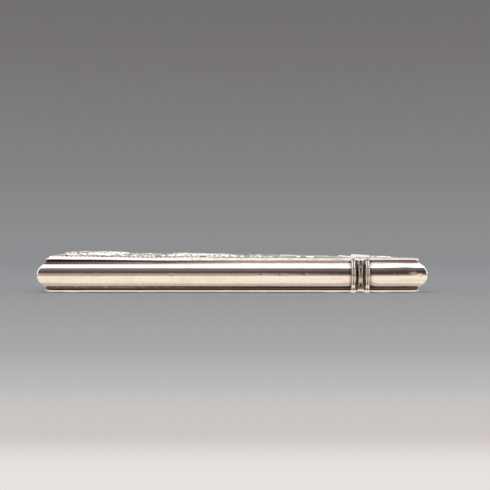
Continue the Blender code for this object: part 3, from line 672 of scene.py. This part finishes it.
def body_field():
    """A quarter of the body's ornament, from the field's centre outwards."""
    field = Field(BODY_FIELD, FIELD_Y)
    fu, fv = BODY_FIELD, FIELD_Y
    half_u, half_v = fu * 0.29, fv * 0.3
    frame_width, pad_share = 1.5, 0.76

    def cartouche(u, v):
        angle = np.arctan2(v / half_v, u / half_u)
        edge = np.hypot(half_u * np.cos(angle), half_v * np.sin(angle))
        off = (np.hypot(u, v) - edge) / (frame_width / 2)
        ridge = np.sqrt(np.clip(1 - off ** 2, 0, 1)) * (1 - 0.2 * np.cos(angle * 40) ** 2)
        inner = np.hypot(u / half_u, v / half_v) / pad_share
        pad = np.where(inner < 1, 1 - 0.08 * inner ** 2, 0) * np.clip((1 - inner) / 0.03, 0, 1) ** 0.5
        return np.maximum(ridge, pad)

    field.put((0, 0), (half_u + 2, half_v + 2), cartouche)
    eye = (fu * 0.635, fv * 0.51)
    path = scroll(field, eye, fv * 0.34, 1.5, -68.0, -1, 2.0)
    scroll_leaves(field, path, eye, (0.5, 0.62, 0.72, 0.82, 0.92, 1.0), 1, 5.2, 4.0)
    scroll_leaves(field, path, eye, (0.56, 0.67, 0.77, 0.87, 0.96), 1, 3.2, 2.2, 12.0, 90.0, 0.8)
    scroll_leaves(field, path, eye, (0.66, 0.72, 0.78, 0.84, 0.9, 0.96), -1, 3.4, 2.6)
    flower(field, eye, 3.3)
    side_eye = (fu * 0.15, fv * 0.745)
    path = scroll(field, side_eye, fv * 0.155, 1.25, -10.0, 1, 1.6)
    scroll_leaves(field, path, side_eye, (0.5, 0.62, 0.74, 0.86, 0.97), 1, 3.4, 2.5)
    flower(field, side_eye, 1.7, 5)
    for degrees in (4.0, 24.0, 44.0, 64.0, 84.0):
        angle = math.radians(degrees)
        base = (half_u * math.cos(angle), half_v * math.sin(angle))
        leaf(field, base, angle - math.radians(35), 3.6, 2.4, math.radians(118), 0.85)
    corner = (fu * 0.845, fv * 0.845)
    leaf(field, corner, math.radians(10), 5.2, 4.0, math.radians(75))
    leaf(field, corner, math.radians(80), 5.2, 4.0, math.radians(-75))
    leaf(field, corner, math.radians(45), 5.6, 3.2, 0.0, 1.0)
    root = (fu * 0.86, 0.0)
    for spread in (0.0, 0.25, 0.5, 0.75, 1.0):
        heading = math.pi - math.radians(72.0) * spread
        leaf(field, root, heading, fu * 0.3 * (1 - 0.3 * spread), 3.6, -math.radians(75) * spread, 0.95)
    berry(field, (fu * 0.335, fv * 0.9), 0.95)
    berry(field, (fu * 0.36, fv * 0.12), 0.95)
    small = scroll(field, (fu * 0.40, fv * 0.86), fv * 0.085, 1.2, 200.0, -1, 1.1, 0.85)
    scroll_leaves(field, small, (fu * 0.40, fv * 0.86), (0.55, 0.75, 0.95), 1, 2.6, 1.8)
    small = scroll(field, (fu * 0.92, fv * 0.33), fv * 0.07, 1.1, 160.0, 1, 1.0, 0.8)
    scroll_leaves(field, small, (fu * 0.92, fv * 0.33), (0.6, 0.85), 1, 2.2, 1.6)
    fill(field, 5, ((2.0, 500, "leaf"), (1.5, 900, "leaf"), (1.1, 1600, "leaf"), (0.75, 2200, "berry"),
                    (0.5, 2500, "berry")), 0.4, 0.4)
    return field


def lid_field():
    """Half of the lid's ornament: across from the rim to the end, and from the middle to an edge."""
    field = Field(LID_FIELD * 2, FIELD_Y)
    fu, fv = LID_FIELD, FIELD_Y
    for i, share in enumerate((0.27, 0.56, 0.84)):
        swing = 1 if i % 2 else -1
        eye = (fu + swing * fu * 0.1, fv * share)
        path = scroll(field, eye, fu * 0.6, 1.25, swing * -105.0, swing, 1.5)
        scroll_leaves(field, path, eye, (0.5, 0.62, 0.74, 0.86, 0.97), 1, 2.7, 2.0)
        flower(field, eye, 1.6, 5)
    root = (fu * 0.4, 0.0)
    for spread in (0.0, 0.33, 0.66, 1.0):
        heading = math.radians(72.0) * spread
        leaf(field, root, heading, fu * 1.2 * (1 - 0.3 * spread), 2.4, math.radians(70) * spread)
    fill(field, 9, ((1.4, 500, "leaf"), (1.0, 900, "leaf"), (0.7, 1200, "berry"), (0.5, 1500, "berry")),
         0.2, 0.4)
    return field


def relief_height(x, face):
    """How far the highest crowns stand out: the front's relief is bold at the foot and low at the mouth."""
    if face < 0:
        return np.full_like(x, BACK_RELIEF)
    return np.interp(x, (-48, -38, -33, -23, -9, 5, 17, 27, 31, 34, 38, 42, 46),
                     (1.8, 1.6, 1.15, 0.86, 0.96, 0.62, 0.63, 0.42, 0.42, 0.8, 0.75, 0.45, 0.2))


def under_ceiling(x, y, height):
    """Eases the highest crowns down, so that the twisted case stays within its size."""
    soft = 0.2
    knee = CEILING / twist(x, y) - MID_Z - soft
    return np.where(height > knee, knee + soft * (1 - np.exp(-(height - knee) / soft)), height)


def lip_thickness(x, face):
    """The lips are worn thin, the front one least towards the mouth."""
    if face < 0:
        return np.full_like(x, 0.3)
    return np.interp(x, (-48, -32, -18, 30, 34, 48), (0.24, 0.42, 0.6, 0.62, 0.45, 0.42))


def corner_curl(x, y):
    """How far a lip is bent in at a corner of the case."""
    reach = np.hypot(LIP_X - np.abs(x), LIP_Y - np.abs(y))
    return 0.12 * np.exp(-(reach / 1.1) ** 2)


def edge_lines(low, high):
    """Grid lines from low to high, closer together at the ends."""
    step, margin = 0.24, 0.7
    start = np.array([0, 0.006, 0.025, 0.06, 0.11, 0.18, 0.27, 0.38, 0.5, 0.62])
    middle = np.linspace(low + margin, high - margin, int((high - low) / step))
    return np.concatenate([low + start, middle, high - start[::-1]])


def border_beads(x, y, real_x):
    """The beaded line that runs along a plate's free edges."""
    inset, reach, pitch = 1.25, 0.45, 1.15
    from_end, from_side = LIP_X - x, LIP_Y - np.abs(y)
    off = (np.minimum(from_end, from_side) - inset) / reach
    along = np.where(from_end < from_side, y, real_x)
    swell = 0.55 + 0.45 * np.abs(np.sin(math.pi * along / pitch)) ** 0.6
    return 0.35 * (np.sqrt(np.clip(1 - off ** 2, 0, 1)) * swell)


def plate_recess_and_shade(real_x, to_edge, ornament, rim_x, face):
    """How dark the points of a plate's grid are made, and then those of its edge's rings: tarnish in the
    ground between the ornament, partly painted shade, and painted shade on the front lip's edge strip
    and under the lips.
    """
    deep = np.interp(real_x, (-12, 8), (0.92, 0.68)) if face > 0 else 0.92
    ground = deep * np.clip((0.70 - ornament) / 0.42, 0, 1) ** 0.9
    ground = ground * np.clip((to_edge - LIP_SHADE_STRIP) / 0.7, 0, 1)
    # Painted shade under the lips, darkest under the front lip at the foot.
    under_lip_shade = np.full(len(rim_x), 0.22)
    if face > 0:
        under_lip_shade = np.interp(rim_x, (-45, -32, -18), (0.8, 0.5, 0.0))
        # Painted shade on the front lip's edge strip, which dims its reflection.
        lip_strip_shade = np.interp(real_x, (-30, -8, 30), (0.0, 0.26, 0.34)) * (1 + 18 * waver(real_x, 77, 6.0, 0.02))
        ground = np.maximum(ground, np.clip(lip_strip_shade, 0, 0.6) * np.clip(LIP_SHADE_STRIP - to_edge, 0, 1))
    return np.concatenate([ground.reshape(-1), np.zeros(len(rim_x)), under_lip_shade, under_lip_shade])


def plate_mesh(end, face, field):
    """A chased plate. Returns its points, its faces and how dark each point is made by tarnish and painted
    shade.
    """
    mouth = end * JOINT_X + MOUTH_GAP
    x, y = np.meshgrid(edge_lines(mouth, LIP_X), edge_lines(-LIP_Y, LIP_Y), indexing="ij")
    real_x = end * x
    to_edge = np.minimum(np.minimum(LIP_X - x, x - mouth), LIP_Y - np.abs(y))
    local_v = np.abs(y)
    if end < 0:
        local_u = np.abs(real_x - BODY_CENTRE)
        inside = (local_u < BODY_FIELD) & (local_v < FIELD_Y)
        free = real_x < BODY_HIGH
    else:
        local_u = real_x - LID_LOW
        inside = (local_u > 0) & (local_u < 2 * LID_FIELD) & (local_v < FIELD_Y)
        free = real_x > LID_LOW
    ornament = np.where(inside, field.at(local_u, local_v), 0)
    ornament = np.maximum(ornament, border_beads(x, y, real_x) * np.where(free, 1.0, 0.0))
    crispness = np.interp(real_x, (-45, -20, 5), (1.15, 1.1, 1.0)) if face > 0 else 1.0
    rise = ornament ** crispness * relief_height(real_x, face)
    uneven = waver(x + 0.6 * y, 41 + int(face), 26.0, 0.02) * np.clip(to_edge / 2, 0, 1)
    mouth_edge = (x - mouth < MOUTH_BAND) & (LIP_Y - np.abs(y) > MOUTH_BAND)
    drop = np.where(mouth_edge, 0.1, lip_thickness(real_x, face) - 0.05)
    near = np.clip(np.where(mouth_edge, (x - mouth) / 0.1, to_edge / LIP_FALL), 0, 1)
    top = PLATE_OUTER - drop * (1 - near) ** 1.2
    height = top + rise + np.where(ornament > 0.02, 0, uneven) - corner_curl(x, y)
    if face > 0:
        height = under_ceiling(real_x, y, height)
    round_x, round_y = LIP_X - CORNER_ROUND, LIP_Y - CORNER_ROUND
    corner_x, corner_y = x - round_x, np.abs(y) - round_y
    turn = (corner_x > 0) & (corner_y > 0)
    reach = np.maximum(corner_x, corner_y) / np.maximum(np.hypot(corner_x, corner_y), 1e-9)
    x = np.where(turn, round_x + corner_x * reach, x)
    y = np.where(turn, np.sign(y) * (round_y + corner_y * reach), y)
    wobble = waver(x, 51, 14.0, 0.02) * (np.abs(np.abs(y) - LIP_Y) < 1e-6)
    y = y + wobble * np.sign(y)
    points = [np.stack([end * x, y, face * height], axis=2).reshape(-1, 3)]
    index = np.arange(x.size).reshape(x.shape)
    faces = np.stack([index[:-1, :-1], index[1:, :-1], index[1:, 1:], index[:-1, 1:]], axis=2)
    faces = [tuple(f) for f in faces.reshape(-1, 4).tolist()]
    loop = np.concatenate([index[:, 0], index[-1, 1:], index[-2::-1, -1], index[0, -2:0:-1]])
    rim = points[0][loop]
    centre_x = end * (mouth + LIP_X) / 2
    base = x.size
    previous = loop.tolist()
    under = PLATE_OUTER - lip_thickness(rim[:, 0], face) - corner_curl(rim[:, 0], rim[:, 1])
    at_mouth = np.abs(rim[:, 0]) < abs(mouth) + 0.01
    within = at_mouth & (np.abs(rim[:, 1]) < LIP_Y - MOUTH_BAND)
    for inset, level in ((0, under + 0.03), (0.02, under), (0.35, PLATE_INNER)):
        ring = rim.copy()
        ring[:, 2] = face * np.where(within, np.minimum(level, PLATE_INNER + 0.05), level)
        if inset:
            ring[:, 0] -= np.sign(ring[:, 0] - centre_x) * np.where(at_mouth, inset * 0.1, inset)
            ring[:, 1] -= np.sign(ring[:, 1]) * inset
        points.append(ring)
        current = range(base, base + len(loop))
        faces += bridge(previous, current)
        base += len(loop)
        previous = current
    faces.append(tuple(previous[::-1]))
    return np.concatenate(points), faces, plate_recess_and_shade(real_x, to_edge, ornament, rim[:, 0], face)


def add_plates():
    fields = {-1: body_field(), 1: lid_field()}
    for end, owner in ((-1, "body"), (1, "lid")):
        for face, side in ((1, "front"), (-1, "back")):
            node = f"{owner}_{side}_plate"
            points, faces, recess_and_shade = plate_mesh(end, face, fields[end])
            obj = add_piece(node, points, faces, owner, CHASED, 55.0)
            set_recess_and_shade(obj, recess_and_shade)


# Reeded rims

def bead_points(height):
    """(along, lift) points across a rim's beads."""
    steps, beads, valley = 9, 2, 0.35
    points = [(0.0, 0.0)]
    for bead in range(beads):
        for i in range(1 if bead else 0, steps + 1):
            swell = valley + (1 - valley) * math.sin(math.pi * i / steps) ** 0.7
            points.append(((bead + i / steps) / beads * RIM_WIDTH, swell * height))
    return points + [(RIM_WIDTH, 0.0)]


def strip_rings(start_x, stations, seed):
    """A rim's sections at its stations of (place, outward, height), a little worn."""
    rings = []
    for n, ((y, z), (out_y, out_z), height) in enumerate(stations):
        wear = 1 + waver(np.array(n * 1.7), seed, 9.0, 0.05)
        rings.append([
            (start_x + along, y + out_y * lift * wear, z + out_z * lift * wear)
            for along, lift in bead_points(height)
        ])
    return rings


def face_stations(face, height):
    """Over a face, with a rounded fold over each lip."""
    lip, top = LIP_Y + 0.05, PLATE_OUTER + 0.05
    fold_drop, fold_round, run_in = 0.42, 0.1, 0.6
    stations = [((lip, PLATE_OUTER - fold_drop), (1.0, 0.0), RIM_SIDE_HEIGHT)]
    for degrees in (0, 22, 45, 68, 90):
        angle = math.radians(degrees)
        out = (math.cos(angle), math.sin(angle))
        lift = RIM_SIDE_HEIGHT + (height - RIM_SIDE_HEIGHT) * degrees / 90
        place = (lip - fold_round + fold_round * out[0], top - fold_round + fold_round * out[1])
        stations.append((place, out, lift))
    for y in np.linspace(lip - run_in, run_in - lip, 70):
        stations.append(((y, top), (0.0, 1.0), height))
    for (y, z), (out_y, out_z), lift in stations[5::-1]:
        stations.append(((-y, z), (-out_y, out_z), lift))
    return [((y, face * z), (out_y, face * out_z), lift) for (y, z), (out_y, out_z), lift in stations]


def side_stations(side, fade):
    """Round a side. The rim spans the coves, from the end of the crest straight to the lips."""
    depth, height, angles = faded_profile(
        fade, -0.05, BAND_HALF - 0.05, arc_steps=30, slope_steps=4, cove_steps=4,
    )
    bend = CREST_R * math.sin(CREST_ANGLE)
    spanning = np.abs(height) > bend
    bend_depth = float(np.interp(bend, height[15:], depth[15:]))
    spanned = np.interp(np.abs(height), (bend, height[-1]), (bend_depth, depth[-1]))
    depth = np.where(spanning, spanned, depth)
    angles = np.where(spanning, np.sign(height) * math.radians(40.0), angles)
    return [
        ((side * (HALF_WIDTH - d), z), (side * math.cos(angle), math.sin(angle)), RIM_SIDE_HEIGHT)
        for d, z, angle in zip(depth, height, angles)
    ]


def add_rims():
    rows = (
        ("body", JOINT_X - RIM_SETBACK - RIM_WIDTH, 0.42, 1.0), ("lid", JOINT_X + RIM_SETBACK, 0.75, 0.8),
    )
    lifts = np.array([lift for _, lift in bead_points(1.0)])
    valleys = 0.85 * np.clip((0.82 - lifts) / 0.35, 0, 1)
    for owner, start_x, front, fade in rows:
        parts = (
            ("front", face_stations(1, front)), ("back", face_stations(-1, 0.30)),
            ("hinge_side", side_stations(-1, fade)), ("catch_side", side_stations(1, fade)),
        )
        for n, (part, stations) in enumerate(parts):
            node = f"{owner}_rim_{part}"
            rings = strip_rings(start_x, stations, 60 + n)
            points, faces = ring_mesh(rings)
            obj = add_piece(node, points, faces, owner, RIM, 50.0)
            set_recess_and_shade(obj, np.tile(valleys, len(rings)))


# Hinge

TUBE_ANGLES = np.linspace(0, math.tau, 56, endpoint=False)


def about_hinge(radius, angle, height):
    return JOINT_X + radius * math.cos(angle), HINGE_Y + radius * math.sin(angle), height


def knuckle(bottom, top, end):
    """A tube with softened ends, and its leaf."""
    barrel, bore, soft = 0.85, 0.45, 0.09
    softened = ((soft, 0), (soft * 0.3, soft * 0.3), (0, soft))
    outline = [(barrel - inset, bottom + lift) for inset, lift in softened]
    outline += [(barrel - inset, top - lift) for lift, inset in softened]
    outline += [(bore, top), (bore, bottom)]
    rings = [[about_hinge(radius, angle, height) for radius, height in outline] for angle in TUBE_ANGLES]
    points, faces = ring_mesh(rings, capped=False)
    faces += bridge(range(len(points) - len(outline), len(points)), range(len(outline)))
    near, far, tip = 0.3, 0.8, 1.77
    corners = [(near, 0.74), (near, tip), (far, tip), (far, 0.2)]
    leaf_points, leaf_faces = ring_mesh([
        [(JOINT_X - end * across, HINGE_Y + along, height) for across, along in corners]
        for height in (bottom + 0.02, top - 0.02)
    ])
    faces += [tuple(i + len(points) for i in face) for face in leaf_faces]
    return np.concatenate([points, leaf_points]), faces


def add_hinge():
    rows = (
        ("hinge_knuckle_front", "body", 1.8, 3.6, 1), ("hinge_knuckle_middle", "lid", -2.2, 1.7, -1),
        ("hinge_knuckle_back", "body", -3.6, -2.3, 1),
    )
    for node, body, bottom, top, end in rows:
        points, faces = knuckle(bottom, top, end)
        add_piece(node, points, faces, body, HINGE)
    head, shank, seat, edge, crown = 0.8, 0.4, 3.65, 0.12, 0.34
    half = []
    for degrees in (90, 72, 54, 36, 18, 0):
        angle = math.radians(degrees)
        half.append((max(head * math.cos(angle), 0.04), seat + edge + crown * math.sin(angle)))
    half += [(head, seat), (shank, seat)]
    profile = half + [(radius, -height) for radius, height in half[::-1]]
    rings = [[about_hinge(radius, angle, height) for angle in TUBE_ANGLES] for radius, height in profile]
    points, faces = ring_mesh(rings)
    add_piece("hinge_pin", points, faces, "body", HINGE)


def add_bezel():
    """The sleeve in the body's mouth, with softened edges, and the pip on it that the lid snaps over."""
    slide_gap, catch_gap, sheet = 0.07, 0.22, 0.4
    hinge_clear, sleeve_depth, sleeve_reach = 3.5, 5.0, 3.0
    outer_height, inset = PLATE_INNER - slide_gap, BAND_SHEET + catch_gap
    start_y = HINGE_Y + hinge_clear

    def section(back):
        loops = []
        for depth_in, reach in ((inset + back, outer_height - back),
                                (inset + sheet - back, outer_height - sheet + back)):
            depth, height, _ = side_profile(depth_in, reach, arc_steps=40, cove=0.05)
            y = np.concatenate([[start_y + back], HALF_WIDTH - depth, [start_y + back]])
            loops.append(np.stack([y, np.concatenate([[-reach], height, [reach]])], axis=1))
        return np.concatenate([loops[0], loops[1][::-1]])

    rings = []
    low, high = JOINT_X - sleeve_depth, JOINT_X + sleeve_reach
    stations = [(low, 0.03), (low + 0.03, 0.0)]
    stations += [(x, 0.0) for x in np.linspace(low + 0.5, high - 0.5, 14)]
    stations += [(high - 0.12, 0.0), (high - 0.05, 0.015), (high - 0.015, 0.05), (high, 0.11)]
    for x, back in stations:
        outline = section(back)
        rings.append(np.concatenate([np.full((len(outline), 1), x), outline], axis=1))
    points, faces = ring_mesh(rings, strip=True)
    add_piece("inner_bezel", points, faces, "body", INSIDE)
    crest = HALF_WIDTH - inset + 0.025
    angles = np.linspace(0, math.tau, 40, endpoint=False)
    rings = []
    for radius, lift in ((0.7, 0.0), (0.69, 0.02), (0.6, 0.07), (0.45, 0.105), (0.25, 0.118), (0.08, 0.12)):
        rings.append(np.stack([
            JOINT_X + 1.5 + radius * np.cos(angles), np.full(40, crest + lift), radius * np.sin(angles),
        ], axis=1))
    points, faces = ring_mesh(rings)
    add_piece("snap_pip", points, faces, "body", INSIDE)


def dress_nodes():
    """The look of the CAD pieces that stay."""
    for node in ("body_hinge_box", "lid_hinge_box"):
        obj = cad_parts[node]
        for material_slot in obj.material_slots:
            material_slot.material = BOX
        if not obj.material_slots:
            obj.data.materials.append(BOX)


# Studio

# The tent's colours go up to this brightness
LIGHT_STRENGTH = 4.0


def floor_material():
    """Pale paper. The camera sees it shaded off to the backdrop, and metal sees a painted pool of
    light round the case, which glows for glossy rays.
    """
    material, tree, shader = node_tree("floor_look")
    tree.nodes.remove(shader)
    coords = coordinates(tree)
    graded = ramp(tree, map_range(tree, axes(tree, coords)["Y"], -0.46, 0.54), (
        (0.0, (0.80, 0.77, 0.73)), (0.0235, (0.785, 0.745, 0.715)), (0.04, (0.61, 0.57, 0.55)),
        (0.06, (0.58, 0.557, 0.535)), (0.075, (0.55, 0.54, 0.53)), (0.095, (0.487, 0.485, 0.49)),
        (0.153, (0.397, 0.394, 0.40)), (0.27, (0.344, 0.344, 0.352)), (0.38, (0.314, 0.317, 0.326)),
        (0.60, (0.295, 0.302, 0.314)), (1.0, (0.268, 0.272, 0.282)),
    ))
    seen = add(tree, "ShaderNodeBsdfDiffuse", {"Color": graded}).outputs[0]
    far = add(tree, "ShaderNodeEmission", {"Color": graded}).outputs[0]
    fade = map_range(tree, vector_node(tree, "LENGTH", coords), 0.15, 0.7, 0.4)
    shown = mix_shaders(tree, fade, seen, far)
    speckle = ramp(tree, noise(tree, coords, 60.0, 2.0), (
        (0.3, (0.87, 0.765, 0.635)), (0.7, (0.91, 0.81, 0.68)),
    ))
    lit = add(tree, "ShaderNodeBsdfDiffuse", {"Color": speckle}).outputs[0]
    outside = vector_node(tree, "ABSOLUTE", coords)
    beyond = vector_node(tree, "SUBTRACT", outside, (HALF_LENGTH * MM, HALF_WIDTH * MM, 0))
    away = vector_node(tree, "LENGTH", vector_node(tree, "MAXIMUM", beyond, (0, 0, 0)))
    # A painted pool of light for glossy rays: cream within about 21 mm of the case, dimmer beyond.
    table = ramp(tree, map_range(tree, away, 0.0, 0.2), (
        (0.0, (1.0, 0.88, 0.785)), (0.106, (1.0, 0.88, 0.785)), (0.114, (0.46, 0.36, 0.31)),
        (1.0, (0.44, 0.347, 0.303)),
    ))
    glowing_pool = add(tree, "ShaderNodeEmission", {"Color": table}).outputs[0]
    ray = add(tree, "ShaderNodeLightPath").outputs
    paper = mix_shaders(tree, math_node(tree, "MULTIPLY", ray["Is Glossy Ray"], 0.92), lit, glowing_pool)
    surface = mix_shaders(tree, ray["Is Camera Ray"], paper, shown)
    tree.links.new(surface, tree.nodes["Material Output"].inputs["Surface"])
    return material


def add_floor():
    mesh = bpy.data.meshes.new("floor")
    size = 6.0
    corners = [(-size, -size, 0), (size, -size, 0), (size, size, 0), (-size, size, 0)]
    mesh.from_pydata(corners, [], [(0, 1, 2, 3)])
    floor = add_object("floor", mesh)
    mesh.materials.append(floor_material())


def add_world():
    """A photographer's tent, dark towards the camera. The camera itself sees a plain grey backdrop."""
    world = bpy.data.worlds.new("studio")
    bpy.context.scene.world = world
    world.use_nodes = True
    tree = world.node_tree
    tree.nodes.remove(tree.nodes["Background"])
    split = axes(tree, add(tree, "ShaderNodeTexCoord").outputs["Generated"])
    front = math_node(tree, "MULTIPLY", split["Y"], -1.0)
    over = math_node(tree, "ARCTAN2", split["Z"], front)
    place = map_range(tree, over, 0.0, math.radians(180))

    def arch(*stops):
        """Stops by degrees over the top, from the horizon in front to the one behind."""
        return ramp(tree, place, [
            (degrees / 180, tuple(value / LIGHT_STRENGTH for value in grey(colour)))
            for degrees, colour in stops
        ])

    overhead = (
        (82, 1.25), (104, 1.15), (108, 2.2), (126, 2.0), (131, (0.75, 0.74, 0.74)),
        (152, (0.34, 0.33, 0.335)), (168, (0.75, 0.74, 0.74)), (180, (1.1, 1.09, 1.08)),
    )
    tent = arch(
        (0, (0.44, 0.347, 0.303)), (3.2, (0.43, 0.34, 0.297)), (11, (0.37, 0.292, 0.257)),
        (15, (0.235, 0.18, 0.165)), (18.5, (0.10, 0.082, 0.08)), (22.6, (0.085, 0.07, 0.068)),
        (32.5, (0.108, 0.097, 0.10)), (42.7, (0.165, 0.138, 0.145)), (53.4, (0.225, 0.185, 0.195)),
        (67.5, (0.28, 0.245, 0.255)), (69.8, 0.9), (72.8, 2.6), *overhead,
    )
    corner = arch(
        (0, (0.17, 0.13, 0.115)), (3.2, (0.125, 0.095, 0.088)), (12.9, (0.055, 0.043, 0.040)),
        (22.6, (0.060, 0.050, 0.047)), (32.5, (0.085, 0.077, 0.076)), (42.7, (0.135, 0.115, 0.115)),
        (53.4, (0.19, 0.165, 0.165)), (66, (0.24, 0.21, 0.205)), (68.3, 0.6), (74, 2.6), *overhead,
    )
    tent = blend(tree, map_range(tree, split["X"], 0.018, 0.055), tent, corner)
    apart = map_range(tree, math_node(tree, "ABSOLUTE", split["X"]), 0.50, 0.66)
    panel = ramp(tree, split["Z"], (
        (0.0, (0.20, 0.185, 0.18)), (0.08, (0.24, 0.235, 0.235)), (0.7, 0.30), (0.8, 0.42),
    ))
    lit = blend(tree, apart, tent, panel)
    light = add(tree, "ShaderNodeBackground", {"Color": lit, "Strength": LIGHT_STRENGTH}).outputs[0]
    sky = ramp(tree, map_range(tree, split["Z"], 0.0, 0.12), (
        (0.0, (0.268, 0.270, 0.280)), (0.2, (0.240, 0.234, 0.240)), (0.45, (0.212, 0.203, 0.207)),
        (0.68, (0.188, 0.177, 0.180)), (0.9, (0.172, 0.162, 0.165)), (1.0, (0.168, 0.158, 0.161)),
    ))
    seen = add(tree, "ShaderNodeBackground", {"Color": sky}).outputs[0]
    camera_ray = add(tree, "ShaderNodeLightPath").outputs["Is Camera Ray"]
    surface = mix_shaders(tree, camera_ray, light, seen)
    tree.links.new(surface, tree.nodes["World Output"].inputs["Surface"])


def add_camera():
    """The photograph's view: square on to the hinge edge, a little above the front plate."""
    focal_px, frame_px = 2109.0, 490.0
    horizon_px, vanishing_px = 235.15, 230.0
    roll = math.radians(0.02)
    distance, eye_height = 539.0, 14.79
    data = bpy.data.cameras.new("camera")
    data.sensor_width = 36.0
    data.lens = data.sensor_width * focal_px / frame_px
    data.clip_start = 0.01
    data.clip_end = 20.0
    camera = add_object("camera", data)
    camera.location = (-0.6 * MM, -(HALF_WIDTH + distance) * MM, eye_height * MM)
    pitch = math.atan((frame_px / 2 - horizon_px) / focal_px)
    yaw = math.atan((frame_px / 2 - vanishing_px) / focal_px)
    aim = Euler((math.radians(90) - pitch, 0, -yaw)).to_matrix() @ Matrix.Rotation(roll, 3, "Z")
    camera.rotation_euler = aim.to_euler()
    bpy.context.scene.camera = camera


add_bands()
add_plates()
add_rims()
add_hinge()
add_bezel()
dress_nodes()
add_floor()
add_world()
add_camera()
bpy.context.scene.view_settings.view_transform = "Standard"
